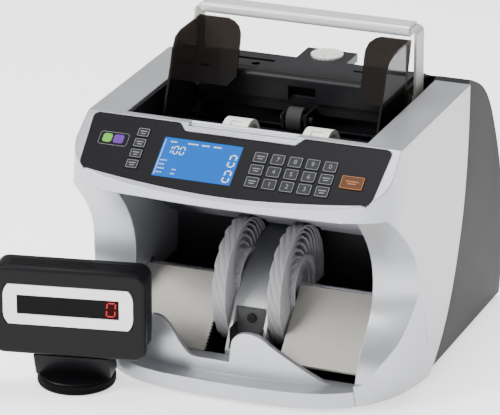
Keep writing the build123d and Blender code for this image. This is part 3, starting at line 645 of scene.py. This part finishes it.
# ---------------------------------------------------------------- seven-segment digits
@dataclass(frozen=True)
class SegmentDigit:
    """A digit drawn with up to seven bars.

    Args:
        width, height: Size of the digit, in mm.
        line: Width of a bar, in mm.
        slant: Shear of the digit.
    """

    width: float
    height: float
    line: float
    slant: float = 0.08

    BARS = {"0": "abcdef", "1": "bc", "2": "abged", "8": "abcdefg"}

    def bar(self, letter: str) -> tuple[float, float, float, float]:
        """Place and size of a bar.

        Args:
            letter: The bar's letter, a to g.

        Returns:
            Middle X and Y, width and height, in mm.
        """
        w, h, t, gap = self.width, self.height, self.line, self.line * 0.35
        side, half = (w - t) / 2, h / 2
        flat, tall = w - 2 * t - gap, half - 1.5 * t - gap
        places = {
            "a": (0, half - t / 2, flat, t), "g": (0, 0, flat, t), "d": (0, t / 2 - half, flat, t),
            "b": (side, h / 4, t, tall), "c": (side, -h / 4, t, tall),
            "e": (-side, -h / 4, t, tall), "f": (-side, h / 4, t, tall),
        }
        return places[letter]

    def build(self, digit: str, name: str, place: Matrix) -> bpy.types.Object:
        """Builds the digit.

        Args:
            digit: The digit to draw.
            name: Name of the piece.
            place: Matrix of its drawing plane.

        Returns:
            The new object.
        """
        bars = []
        for letter in self.BARS[digit]:
            x, y, w, h = self.bar(letter)
            piece = plate(name, w, h, self.line * 0.3, 0.05)
            piece.data.transform(Matrix.Translation((x * MM, y * MM, 0)))
            bars.append(piece)
        result = joined(bars, name)
        lean = Matrix.Identity(4)
        lean[0][1] = self.slant
        result.data.transform(place @ lean)
        return result


# ---------------------------------------------------------------- sub-assemblies
@dataclass
class Covers:
    """Silver housing, nose, dark rear cover and the black hopper mouldings."""

    palette: Palette

    def build(self) -> None:
        """Refines the large mouldings."""
        finishes = {
            "main_housing": ("silver_paint", 24.0), "stacker_nose": ("silver_paint", 24.0),
            "rear_cover": ("charcoal_cover", 24.0), "hopper_tray": ("black_plastic", 30.0),
            "hopper_bridge": ("black_plastic", 30.0), "control_panel": ("black_panel", 30.0),
            # The centre guide and the upper guide plate take finishes with painted shade faded into their
            # colour.
            "exit_chassis": ("black_plastic", 30.0), "centre_guide": ("ramp_grey_painted_shade", 24.0),
            "upper_guide_plate": ("roof_grey_painted_shade", 24.0),
        }
        for node, (finish, angle) in finishes.items():
            refined(node, self.palette, finish, "chassis", angle)
            log.info("piece %s_surface", node)


@dataclass
class Keypad:
    """Keys with their printed outlines and legends.

    Args:
        palette: The finishes.
        layout: The machine's layout.
        top: Height of the keys' tops from the panel plane, in mm.
        line: Width of the printed outline, in mm.
        numeral_size: Height of the type, in mm.
        grid: The keys of the main block, row by row.
        column: The keys of the left column.
    """

    palette: Palette
    layout: Layout
    top: float = 0.84
    line: float = 0.45
    numeral_size: float = 6.4
    grid: tuple[tuple[str, ...], ...] = (
        ("curr_key", "key_7", "key_8", "key_9", "key_0"),
        ("ads_key", "key_4", "key_5", "key_6", "clear_key"),
        ("val_key", "key_1", "key_2", "key_3", "report_key"),
    )
    column: tuple[str, ...] = ("mode_key", "batch_key", "add_key", "speed_key")

    def places(self) -> list[tuple[str, float, float, float, float]]:
        """Lists the keys.

        Returns:
            Node name, X, distance down the slope, width and height of each key, in mm.
        """
        out = [(n, -87.4, 15.3 + 11.1 * i, 11.2, 9.0) for i, n in enumerate(self.column)]
        for row, names in enumerate(self.grid):
            for i, n in enumerate(names):
                out.append((n, 24.5 + 16.0 * i, 24.8 + 12.9 * row, 12.6, 11.0))
        return out + [("restart_key", 111.9, 37.7, 21.0, 13.5)]

    def legend(self, node: str, width: float) -> list[bpy.types.Object]:
        """Flat legend of a key: its digit, or plain bars on the function keys.

        Args:
            node: The key's node.
            width: Width of the key, in mm.

        Returns:
            The legend's pieces, in the key's drawing plane.
        """
        last = node.rsplit("_", 1)[-1]
        if last.isdigit():
            return [self.numeral(last)]
        bars = []
        for row, share in ((1.1, 0.56), (-1.3, 0.38)):
            bar = plate("bar", width * share, 0.9, 0.3, 0.04)
            bar.data.transform(Matrix.Translation((0, row * MM, 0)))
            bars.append(bar)
        return bars

    def numeral(self, digit: str) -> bpy.types.Object:
        """Printed numeral, centred on its drawing plane.

        Args:
            digit: The numeral.

        Returns:
            The new object.
        """
        deselect()
        bpy.ops.object.text_add()
        text = bpy.context.object
        text.data.body = digit
        text.data.size = self.numeral_size * MM
        text.data.extrude = 0.02 * MM
        text.data.align_x = "CENTER"
        text.data.align_y = "CENTER"
        text.data.resolution_u = 3
        bpy.ops.object.convert(target="MESH")
        return bpy.context.object

    def build(self) -> None:
        """Prints every key and dresses its cap."""
        for node, x, down, width, height in self.places():
            restart = node == "restart_key"
            ring = plate("ring", width - 0.9, height - 0.9, 1.0, 0.04, self.line)
            print_piece = joined([ring] + self.legend(node, width), node + "_print")
            print_piece.data.transform(self.layout.on_panel(x, down, self.top))
            self.palette.dress(print_piece, "restart_print" if restart else "key_print")
            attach(print_piece, node)
            self.palette.dress(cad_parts[node], "restart_plastic" if restart else "key_plastic")
            log.info("piece %s_print", node)


@dataclass
class Screen:
    """Backlit screen and what it shows, with the badge beside it.

    Args:
        palette: The finishes.
        layout: The machine's layout.
        left: X of the screen's left edge, in mm.
        face: Height of the screen's face from the panel plane, in mm.
        words: First X and number of marks of each word in the top row.
        digits: Sizes of the small and the large digits.
        count_at: X and distance down the slope of the first small digit, in mm.
        count_step: Spacing of the small digits, in mm.
        total_x: X of the large digits, in mm.
        total_rows: Distances of the large digits down the slope, in mm.
        halves: Finish, X, distance down the slope, width and height of the badge's halves, in mm.
    """

    palette: Palette
    layout: Layout
    left: float = -66.0
    face: float = -0.17
    words: tuple[tuple[float, int], ...] = ((-60.0, 5), (-44.0, 8), (-31.0, 6), (-20.0, 6))
    digits: tuple[SegmentDigit, ...] = (
        SegmentDigit(4.6, 8.6, 0.85, 0.08), SegmentDigit(6.6, 13.0, 1.25, 0.06))
    count_at: tuple[float, float] = (-59.0, 28.4)
    count_step: float = 5.9
    total_x: float = 0.4
    total_rows: tuple[float, float] = (32.0, 48.2)
    halves: tuple[tuple[str, float, float, float, float], ...] = (
        ("badge_green", -118.5, 25.0, 8.5, 9.0), ("badge_violet", -108.0, 25.0, 9.5, 9.0))

    def mark(self, name: str, x: float, down: float, w: float, h: float, lift: float) -> bpy.types.Object:
        """Small flat mark on the panel plane.

        Args:
            name: Name of the piece.
            x, down: Its middle, in mm.
            w, h: Its size, in mm.
            lift: Height above the panel, in mm.

        Returns:
            The new object.
        """
        piece = plate(name, w, h, min(w, h) * 0.2, 0.04)
        piece.data.transform(self.layout.on_panel(x, down, lift))
        return piece

    def rows(self) -> list[bpy.types.Object]:
        """Rows of small marks along the screen's edges.

        Returns:
            The marks.
        """
        marks = []
        for start, count in self.words:
            for i in range(count):
                marks.append(self.mark("mark", start + 1.25 * i, 20.2, 0.85, 1.1 + 0.5 * (i % 2), self.face))
        for row in range(4):
            for i in range(5 - row % 2):
                marks.append(self.mark("mark", -63.4 + 1.3 * i, 40.0 + 4.2 * row, 0.8, 1.0, self.face))
        for i in range(24):
            marks.append(self.mark("mark", self.left + 0.7, 19.0 + 1.55 * i, 0.9, 0.9, self.face))
        for row in range(2):
            for i in range(3):
                marks.append(self.mark("mark", -50.0 + 1.3 * i, 48.4 + 4.2 * row, 0.8, 1.1, self.face))
        return marks

    def build(self) -> None:
        """Lights the screen and draws its marks, digits and badge."""
        self.palette.dress(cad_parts["lcd_window"], "screen_blue")
        marks = joined(self.rows(), "screen_marks")
        count, total = self.digits
        parts = [marks]
        for i, digit in enumerate("100"):
            place = self.layout.on_panel(self.count_at[0] + self.count_step * i, self.count_at[1], self.face)
            parts.append(count.build(digit, "count", place))
        for down in self.total_rows:
            place = self.layout.on_panel(self.total_x, down, self.face)
            parts.append(total.build("0", "total", place))
        shown = joined(parts, "screen_figures")
        self.palette.dress(shown, "screen_white")
        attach(shown, "chassis")
        self.badge()
        log.info("piece screen_figures")

    def badge(self) -> None:
        """Two-colour badge with a thin frame at the panel's left end."""
        for name, x, down, w, h in self.halves:
            piece = plate(name, w, h, 2.4, 0.05)
            piece.data.transform(self.layout.on_panel(x, down, 0.01))
            self.palette.dress(piece, name)
            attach(piece, "chassis")
        ring = plate("badge_frame", 27.0, 13.5, 2.4, 0.05, 0.35)
        ring.data.transform(self.layout.on_panel(-112.5, 25.4, 0.01))
        self.palette.dress(ring, "key_print")
        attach(ring, "chassis")
        log.info("piece badge")


@dataclass
class StackerWheel:
    """Bladed wheel that catches each banknote.

    Args:
        side: left or right.
        radius: Outer radius, in mm.
        hub: Radius of the hub, in mm.
        width: Width of the blades, in mm.
        blades: Number of blades.
        sweep: Angle that each blade covers, in radians.
        thick: Thickness of a blade, in mm.
        slant: Extra angle of the blade's tip across its width, in radians.
    """

    palette: Palette
    side: str
    radius: float = 56.0
    hub: float = 25.0
    width: float = 13.0
    blades: int = 20
    sweep: float = radians(104.0)
    thick: float = 1.5
    slant: float = radians(44.0)

    def blade(self) -> bpy.types.Object:
        """One curved blade about the X axis, from the hub to the rim.

        Returns:
            The new object.
        """
        steps, across = 14, 2
        deselect()
        bpy.ops.mesh.primitive_grid_add(x_subdivisions=across, y_subdivisions=steps, size=1.0)
        piece = bpy.context.object
        reach = self.radius - self.thick * 0.5 - self.hub
        for vertex in piece.data.vertices:
            u, v = vertex.co.x + 0.5, vertex.co.y + 0.5
            angle = v * (self.sweep - self.slant * (1 - u))
            r = self.hub - 1.0 + (reach + 1.0) * (1 - (1 - v) ** 1.75)
            vertex.co = Vector(((u - 0.5) * self.width, r * cos(angle), r * sin(angle))) * MM
        solid = piece.modifiers.new("wall", "SOLIDIFY")
        solid.thickness = self.thick * MM
        solid.offset = 0.0
        edge = piece.modifiers.new("edge", "BEVEL")
        edge.width = 0.35 * MM
        edge.segments = 2
        activate(piece)
        for name in ("wall", "edge"):
            bpy.ops.object.modifier_apply(modifier=name)
        return piece

    def hub_piece(self) -> bpy.types.Object:
        """Hub with a raised boss on each side.

        Returns:
            The new object.
        """
        deselect()
        bpy.ops.mesh.primitive_cylinder_add(vertices=64, radius=self.hub * MM, depth=(self.width - 1.0) * MM)
        piece = bpy.context.object
        bpy.ops.object.mode_set(mode="EDIT")
        bpy.ops.mesh.select_all(action="DESELECT")
        bpy.ops.object.mode_set(mode="OBJECT")
        for face in piece.data.polygons:
            face.select = abs(face.normal.z) > 0.9
        bpy.ops.object.mode_set(mode="EDIT")
        bpy.ops.mesh.inset(thickness=4.0 * MM, use_individual=True)
        bpy.ops.mesh.inset(thickness=0.8 * MM, depth=-2.0 * MM, use_individual=True)
        bpy.ops.mesh.inset(thickness=11.0 * MM, use_individual=True)
        bpy.ops.mesh.inset(thickness=0.4 * MM, depth=2.4 * MM, use_individual=True)
        bpy.ops.object.mode_set(mode="OBJECT")
        piece.data.transform(Matrix.Rotation(radians(90.0), 4, "Y"))
        return piece

    def build(self) -> None:
        """Builds the wheel in the place of its CAD node."""
        node = f"stacker_wheel_{self.side}"
        low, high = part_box(node)
        first = self.blade()
        parts = [first]
        for i in range(1, self.blades):
            copy = first.copy()
            copy.data = first.data.copy()
            copy.data.transform(Matrix.Rotation(2 * pi * i / self.blades, 4, "X"))
            bpy.context.scene.collection.objects.link(copy)
            parts.append(copy)
        wheel = joined([self.hub_piece()] + parts, node + "_bladed")
        smooth(wheel, 40.0)
        wheel.data.transform(Matrix.Translation((low + high) / 2))
        self.palette.dress(wheel, "wheel_grey")
        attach(wheel, "stacker_rotor")
        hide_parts(node)
        log.info("piece %s", wheel.name)


@dataclass
class StackerDetails:
    """Small trim of the stacker: painted shade in the sensor pocket, the sensor eye and the toothed edge of
    the left plate.

    Args:
        palette: The finishes.
        layout: The machine's layout.
        eye: Middle of the sensor eye, in mm.
        eye_radius, eye_depth: Size of the sensor eye, in mm.
        pocket: Half width, back Y, lower and upper Z of the pocket, in mm.
        tooth_row: Y and Z of the ends of the row of teeth, in mm.
        tooth_x: X of the teeth, in mm.
        tooth_count: Number of teeth.
    """

    palette: Palette
    layout: Layout
    eye: tuple[float, float, float] = (0.0, 13.0, 56.0)
    eye_radius: float = 4.6
    eye_depth: float = 1.8
    pocket: tuple[float, float, float, float] = (14.2, 15.4, 33.0, 64.5)
    tooth_row: tuple[tuple[float, float], ...] = ((-12.0, 31.6), (42.0, 82.0))
    tooth_x: float = -34.6
    tooth_count: int = 22

    def shade_sheets(self) -> None:
        """Near-black sheets on the back and both cheeks of the sensor pocket, painted shade in the recess."""
        half, back, low, high = self.pocket
        middle = (low + high) / 2
        front = -4.0
        parts = [soft_box("back", (2 * half, 0.5, high - low), self.layout.at(0, back - 1.0, middle), 0.15)]
        for side in (-1, 1):
            place = self.layout.at(side * half, (front + back) / 2, low + 9.0)
            parts.append(soft_box("cheek", (0.4, back - front, 18.0), place, 0.12))
        shade_sheets = joined(parts, "pocket_shade_sheets")
        # Painted shade: the sheets darken the pocket with a near-black finish.
        self.palette.dress(shade_sheets, "painted_pocket_shade")
        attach(shade_sheets, "chassis")
        log.info("piece pocket_shade_sheets")

    def sensor(self) -> None:
        """Round sensor eye with a domed lens, in the pocket of the centre ramp."""
        deselect()
        bpy.ops.mesh.primitive_cylinder_add(vertices=40, radius=self.eye_radius * MM,
                                            depth=self.eye_depth * MM)
        ring = bpy.context.object
        for face in ring.data.polygons:
            face.select = face.normal.z > 0.9
        bpy.ops.object.mode_set(mode="EDIT")
        bpy.ops.mesh.inset(thickness=0.8 * MM)
        bpy.ops.mesh.inset(thickness=0.5 * MM, depth=-0.8 * MM)
        bpy.ops.mesh.inset(thickness=0.9 * MM, depth=0.5 * MM)
        bpy.ops.object.mode_set(mode="OBJECT")
        ring.name = "sensor_eye"
        forward = Matrix.Rotation(radians(90.0), 4, "X")
        ring.data.transform(Matrix.Translation(self.layout.at(*self.eye)) @ forward)
        smooth(ring)
        self.palette.dress(ring, "sensor_black")
        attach(ring, "chassis")
        log.info("piece sensor_eye")

    def teeth(self) -> None:
        """Row of small teeth on the edge of the left plate beside the wheel."""
        start, end = (Vector((0, *corner)) for corner in self.tooth_row)
        parts = []
        for i in range(self.tooth_count):
            step = start.lerp(end, (i + 0.5) / self.tooth_count)
            place = self.layout.at(self.tooth_x, step.y, step.z - 1.6)
            parts.append(soft_box("tooth", (1.6, 1.4, 1.2), place, 0.2))
        row = joined(parts, "plate_teeth")
        self.palette.dress(row, "brushed_plate")
        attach(row, "chassis")
        log.info("piece plate_teeth")

    def build(self) -> None:
        """Builds the trim."""
        self.shade_sheets()
        self.sensor()
        self.teeth()


@dataclass
class CustomerDisplay:
    """Separate customer display on its round foot.

    Args:
        palette: The finishes.
        place: Where it stands.
        front: Y of the window's face, in the display's axes, in mm.
        middle: Z of the window's middle, in mm.
        ridges: Depths of the ridge lines round the head, in mm.
        width: Width of the head, in mm.
        low, high: Heights of its underside and its top, in mm.
        face, split, back: Y of its front, of the seam between its halves and of its back, in mm.
        corner: Radius of its corners, in mm.
        joint: Gap of the seam, in mm.
        front_rim, back_rim: Radii of its front and back rims, in mm.
        seat: Width, height, corner radius and depth of the bezel's seat, in mm.
        opening: Width, height and depth of the window's opening, in mm.
        slot: Width and height of the neck slot, in mm.
        slot_middle, slot_front, slot_back: Z of its middle and Y of its ends, in mm.
        foot_radius, foot_height, foot_rim: Size and rim radius of the round foot, in mm.
        neck_half, column_half: Half widths of the neck and of the column in the head, in mm.
        digit_x: X of the lit digit, in mm.
    """

    palette: Palette
    place: DisplayPlace
    front: float = -30.8
    middle: float = 83.6
    ridges: tuple[float, ...] = (-22.0, -18.0, -14.0, -10.0)
    width: float = 138.0
    low: float = 36.0
    high: float = 118.0
    face: float = -31.0
    split: float = -9.0
    back: float = 3.0
    corner: float = 11.0
    joint: float = 0.3
    front_rim: float = 4.0
    back_rim: float = 6.0
    seat: tuple[float, float, float, float] = (117.0, 38.0, 6.0, 1.6)
    opening: tuple[float, float, float] = (92.4, 18.8, 4.0)
    slot: tuple[float, float] = (59.0, 31.0)
    slot_middle: float = 46.0
    slot_front: float = -27.0
    slot_back: float = -1.0
    foot_radius: float = 35.0
    foot_height: float = 12.0
    foot_rim: float = 4.0
    neck_half: float = 34.0
    column_half: float = 28.0
    digit_x: float = 38.4

    def half_shell(self, name: str, near: float, far: float, edge: float,
                   soft_front: bool) -> bpy.types.Object:
        """One half of the head, round at its corners and along its outer rim.

        Args:
            name: Name of the piece.
            near, far: Y of its front and back faces, in mm.
            edge: Radius of the outer rim, in mm.
            soft_front: True when the outer rim is the front one.

        Returns:
            The new object, still in the drawing plane of the head.
        """
        deselect()
        bpy.ops.mesh.primitive_plane_add(size=1.0)
        piece = bpy.context.object
        piece.name = name
        bpy.ops.object.mode_set(mode="EDIT")
        bpy.ops.transform.resize(value=(self.width * MM, (self.high - self.low) * MM, 1.0))
        bpy.ops.mesh.bevel(affect="VERTICES", offset=self.corner * MM, segments=9)
        bpy.ops.mesh.extrude_region_move(TRANSFORM_OT_translate={"value": (0, 0, (far - near) * MM)})
        bpy.ops.mesh.select_all(action="SELECT")
        bpy.ops.mesh.normals_make_consistent(inside=False)
        bpy.ops.mesh.select_all(action="DESELECT")
        bpy.ops.object.mode_set(mode="OBJECT")
        side = 1.0 if soft_front else -1.0
        for face in piece.data.polygons:
            face.select = face.normal.z * side > 0.9
        bpy.ops.object.mode_set(mode="EDIT")
        bpy.ops.mesh.select_mode(type="FACE")
        bpy.ops.mesh.bevel(offset=edge * MM, segments=7, affect="EDGES")
        bpy.ops.mesh.select_mode(type="VERT")
        bpy.ops.object.mode_set(mode="OBJECT")
        rise = (self.high + self.low) / 2 - self.middle
        piece.data.transform(Matrix.Translation((0, rise * MM, -far * MM)))
        return piece

    def cut(self, piece: bpy.types.Object, cutters: list[bpy.types.Object]) -> None:
        """Takes several shapes out of a piece.

        Args:
            piece: The piece to cut.
            cutters: The shapes, which are used up.
        """
        for cutter in cutters:
            change = piece.modifiers.new("cut", "BOOLEAN")
            change.operation = "DIFFERENCE"
            change.object = cutter
            activate(piece)
            bpy.ops.object.modifier_apply(modifier="cut")
            bpy.data.objects.remove(cutter)

    def block(self, x: float, z: float, size: tuple[float, float], near: float,
              far: float) -> bpy.types.Object:
        """Box in the drawing plane of the head, used to cut it.

        Args:
            x, z: Its middle, in mm.
            size: Its width and height, in mm.
            near, far: Y of its front and back faces, in mm.

        Returns:
            The new object.
        """
        piece = plate("cutter", size[0], size[1], 0, far - near)
        piece.data.transform(Matrix.Translation((x * MM, (z - self.middle) * MM, -far * MM)))
        return piece

    def head(self) -> None:
        """Both halves of the head, with the window opening, bezel seat, neck slot and grille."""
        over = 1.0
        width, height, radius, depth = self.seat
        front = self.half_shell("display_front_surface", self.face, self.split, self.front_rim, True)
        seat = plate("cutter", width, height, radius, depth + over)
        seat.data.transform(Matrix.Translation((0, 0, -(self.face + depth) * MM)))
        near, far = self.face - over, self.face + self.opening[2]
        window = self.block(0, self.middle, self.opening[:2], near, far)
        neck = self.block(0, self.slot_middle, self.slot, self.slot_front, self.split + over)
        self.cut(front, [seat, window, neck])
        near = self.split + self.joint
        rear = self.half_shell("display_rear_surface", near, self.back, self.back_rim, False)
        cuts = [self.block(0, self.slot_middle, self.slot, self.split - over, self.slot_back)]
        cuts += [self.block(0, self.low + 35.0 + 5 * i, (40.0, 2.0), self.back - 2.5, self.back + 2.0)
                 for i in range(6)]
        self.cut(rear, cuts)
        for piece, node in ((front, "display_front_shell"), (rear, "display_rear_shell")):
            piece.data.transform(self.place.on_face(0, 0, self.middle))
            smooth(piece, 30.0)
            self.palette.dress(piece, "display_plastic")
            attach(piece, "display_head")
            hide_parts(node)
            log.info("piece %s", piece.name)

    def stand_piece(self) -> None:
        """Round weighted foot with the broad neck that leans forward under the head."""
        deselect()
        bpy.ops.mesh.primitive_cylinder_add(vertices=96, radius=self.foot_radius * MM,
                                            depth=self.foot_height * MM)
        foot = bpy.context.object
        for face in foot.data.polygons:
            face.select = face.normal.z > 0.9
        bpy.ops.object.mode_set(mode="EDIT")
        bpy.ops.mesh.select_mode(type="FACE")
        bpy.ops.mesh.bevel(offset=self.foot_rim * MM, segments=6, affect="EDGES")
        bpy.ops.mesh.select_mode(type="VERT")
        bpy.ops.object.mode_set(mode="OBJECT")
        foot.data.transform(Matrix.Translation((0, 0, self.foot_height / 2 * MM)))
        low = self.low
        side = [(-14, 11), (14, 11), (5, low - 5.6), (-6, low - 4.4), (-16, low - 2.6), (-24, low - 2.6)]
        neck = self.side_prism(side, self.neck_half, 1.2)
        column = self.side_prism([(-21, 30), (-7, 30), (-7, 50), (-21, 50)], self.column_half, 1.0)
        stand = joined([foot, neck, column], "display_stand_surface")
        place = self.place.on_face(0, 0, 0) @ Matrix.Rotation(radians(-90.0), 4, "X")
        stand.data.transform(place)
        smooth(stand, 32.0)
        self.palette.dress(stand, "display_plastic")
        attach(stand, "display_stand")
        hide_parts("display_stand")
        log.info("piece %s", stand.name)

    def side_prism(self, side: list[tuple[float, float]], half: float, edge: float) -> bpy.types.Object:
        """Side view pushed across the display, with softened edges.

        Args:
            side: Points as Y and Z, in mm.
            half: Half of its width, in mm.
            edge: Radius of its edges, in mm.

        Returns:
            The new object.
        """
        deselect()
        bpy.ops.mesh.primitive_circle_add(vertices=len(side), radius=1.0, fill_type="NGON")
        piece = bpy.context.object
        for vertex, (y, z) in zip(piece.data.vertices, side):
            vertex.co = Vector((-half, y, z)) * MM
        bpy.ops.object.mode_set(mode="EDIT")
        bpy.ops.mesh.select_all(action="SELECT")
        bpy.ops.mesh.extrude_region_move(TRANSFORM_OT_translate={"value": (2 * half * MM, 0, 0)})
        bpy.ops.mesh.select_all(action="SELECT")
        bpy.ops.mesh.normals_make_consistent(inside=False)
        bpy.ops.mesh.bevel(offset=edge * MM, segments=3, affect="EDGES")
        bpy.ops.object.mode_set(mode="OBJECT")
        return piece

    def ridge(self, depth: float) -> bpy.types.Object:
        """One ridge line over the head's top and down its right side.

        Args:
            depth: Its Y in the display's axes, in mm.

        Returns:
            The new object.
        """
        w, high = self.width / 2, self.high
        bend = [(w - self.corner * (1 - sin(t)), high - self.corner * (1 - cos(t)))
                for t in (0.0, pi / 8, pi / 4, 3 * pi / 8, pi / 2)]
        path = [(-w + 14, high)] + bend + [(w, 49.0)]
        deselect()
        bpy.ops.mesh.primitive_plane_add(size=1.0)
        piece = bpy.context.object
        bpy.ops.object.mode_set(mode="EDIT")
        bpy.ops.mesh.select_all(action="SELECT")
        bpy.ops.mesh.merge(type="CENTER")
        bpy.ops.object.mode_set(mode="OBJECT")
        piece.data.vertices[0].co = Vector((path[0][0], path[0][1], 0)) * MM
        bpy.ops.object.mode_set(mode="EDIT")
        bpy.ops.mesh.select_all(action="SELECT")
        for (x0, z0), (x1, z1) in zip(path, path[1:]):
            step = ((x1 - x0) * MM, (z1 - z0) * MM, 0)
            bpy.ops.mesh.extrude_vertices_move(TRANSFORM_OT_translate={"value": step})
        bpy.ops.object.mode_set(mode="OBJECT")
        skin = piece.modifiers.new("line", "SKIN")
        for vertex in piece.data.skin_vertices[0].data:
            vertex.radius = (0.5 * MM, 0.5 * MM)
        skin.use_smooth_shade = True
        activate(piece)
        bpy.ops.object.modifier_apply(modifier="line")
        piece.data.transform(self.place.on_face(0, depth, 0))
        return piece

    def build(self) -> None:
        """Dresses the display and lights its digit."""
        self.head()
        self.stand_piece()
        refined("display_bezel", self.palette, "display_white", "display_head", 28.0)
        self.palette.dress(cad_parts["display_window"], "display_window")
        lines = joined([self.ridge(d) for d in self.ridges], "display_ridges")
        self.palette.dress(lines, "display_plastic")
        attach(lines, "display_head")
        glow = plate("digit_field", 12.0, 16.6, 0.4, 0.04)
        glow.data.transform(self.place.on_face(self.digit_x + 0.2, self.front, self.middle))
        self.palette.dress(glow, "digit_field")
        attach(glow, "display_head")
        digit = SegmentDigit(8.6, 13.6, 1.2, 0.08)
        place = self.place.on_face(self.digit_x, self.front - 0.05, self.middle)
        figure = digit.build("0", "digit_zero", place)
        self.palette.dress(figure, "digit_red")
        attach(figure, "display_head")
        log.info("piece customer display")


@dataclass
class Fittings:
    """CAD nodes that keep their own mesh and only get a finish."""

    palette: Palette

    def build(self) -> None:
        """Dresses the remaining nodes."""
        groups = {
            "smoked_plastic": ("guide_left", "guide_right"),
            "white_plastic": ("feed_gap_knob", "feed_wheels"),
            "roller_rubber": ("retard_roller", "rubber_feet"),
            "drive_rubber": ("drive_belt",),
            "steel_shaft": ("feed_shaft", "transport_roller", "stacker_shaft", "motor_rotor", "cover_screws"),
            "brushed_plate": ("stacker_plate_left", "stacker_plate_right"),
            "sheet_steel": ("base_tray", "side_frame_left", "side_frame_right", "drive_motor"),
            "socket_black": ("power_inlet", "power_switch"),
            "handle_steel": ("handle_bail",),
            "handle_grip": ("handle_grip",),
            "circuit_board": ("main_board",),
        }
        for finish, names in groups.items():
            for node in names:
                self.palette.dress(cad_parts[node], finish)
                log.info("finish %s on %s", finish, node)


# ---------------------------------------------------------------- studio
@dataclass(frozen=True)
class SoftLight:
    """A large soft light.

    Args:
        name: Name of the light.
        place: Its place from the machine's middle, in metres.
        size: Its width, in metres.
        power: Its power, in watts.
    """

    name: str
    place: Vector
    size: float
    power: float

    def build(self, target: Vector) -> None:
        """Adds the light, aimed at a point.

        Args:
            target: The point, in metres.
        """
        data = bpy.data.lights.new(self.name, "AREA")
        data.size = self.size
        data.energy = self.power
        lamp = bpy.data.objects.new(self.name, data)
        lamp.location = target + self.place
        lamp.rotation_euler = (-self.place).to_track_quat("-Z", "Y").to_euler()
        bpy.context.scene.collection.objects.link(lamp)


@dataclass
class Studio:
    """Floor, lights and camera.

    Args:
        layout: The machine's layout.
        turn, dip: Angles of the view, in radians.
        target: Point on the view's axis, on the machine, in mm.
        distance: From the camera to that point, in mm.
        lens: Focal length for a 36 mm sensor, in mm.
        glow: Light given off by the floor.
        sky: Light of the even surroundings.
        aim: Point on the machine that the lights face, in mm.
    """

    layout: Layout
    turn: float = radians(21.44)
    dip: float = radians(20.98)
    target: tuple[float, float, float] = (-35.66, 100.0, 124.78)
    distance: float = 3597.97
    lens: float = 287.82
    glow: float = 1.3
    sky: float = 0.42
    aim: tuple[float, float, float] = (0.0, 60.0, 120.0)

    def camera(self) -> None:
        """Adds the camera at its long, level view."""
        forward = Vector((-sin(self.turn) * cos(self.dip), cos(self.turn) * cos(self.dip), -sin(self.dip)))
        data = bpy.data.cameras.new("view")
        data.sensor_width = 36.0
        data.lens = self.lens
        data.clip_start, data.clip_end = 0.1, 20.0
        data.dof.use_dof = False
        eye = bpy.data.objects.new("view", data)
        eye.location = self.layout.at(*self.target) - forward * self.distance * MM
        eye.rotation_euler = forward.to_track_quat("-Z", "Y").to_euler()
        bpy.context.scene.collection.objects.link(eye)
        bpy.context.scene.camera = eye

    def floor(self) -> None:
        """Adds the pale flat floor."""
        deselect()
        bpy.ops.mesh.primitive_plane_add(size=1.0)
        piece = bpy.context.object
        piece.name = "studio_floor"
        piece.data.transform(Matrix.Diagonal((12.0, 12.0, 1.0, 1.0)))
        graph = Graph("studio_floor")
        tone = graph.mix(graph.noise(3.0, 2.0), (0.90, 0.90, 0.90), (0.93, 0.93, 0.93))
        graph.feed(graph.shader, "Base Color", tone)
        graph.feed(graph.shader, "Roughness", 0.7)
        graph.feed(graph.shader, "Emission Color", (1.0, 1.0, 1.0, 1.0))
        graph.feed(graph.shader, "Emission Strength", self.glow)
        piece.data.materials.append(graph.material)

    def world(self) -> None:
        """Sets the even white surroundings."""
        world = bpy.data.worlds.new("studio")
        world.use_nodes = True
        back = world.node_tree.nodes["Background"]
        back.inputs["Color"].default_value = (1.0, 1.0, 1.0, 1.0)
        back.inputs["Strength"].default_value = self.sky
        bpy.context.scene.world = world

    def build(self) -> None:
        """Builds the studio."""
        middle = self.layout.at(*self.aim)
        lights = [
            SoftLight("key_light", Vector((-1.5, -1.5, 1.7)), 1.0, 80.0),
            SoftLight("top_light", Vector((-0.1, 0.5, 2.3)), 1.2, 75.0),
            SoftLight("front_light", Vector((0.2, -2.4, 0.4)), 1.2, 14.0),
        ]
        for light in lights:
            light.build(middle)
        self.floor()
        self.world()
        self.camera()
        log.info("studio")


def main() -> None:
    """Builds the whole scene in order."""
    layout = Layout.from_frame()
    palette = Palette(layout)
    palette.build()
    Covers(palette).build()
    Fittings(palette).build()
    Keypad(palette, layout).build()
    Screen(palette, layout).build()
    for side in ("left", "right"):
        StackerWheel(palette, side).build()
    StackerDetails(palette, layout).build()
    CustomerDisplay(palette, DisplayPlace(layout)).build()
    Studio(layout).build()


if __name__ == "__main__":
    main()
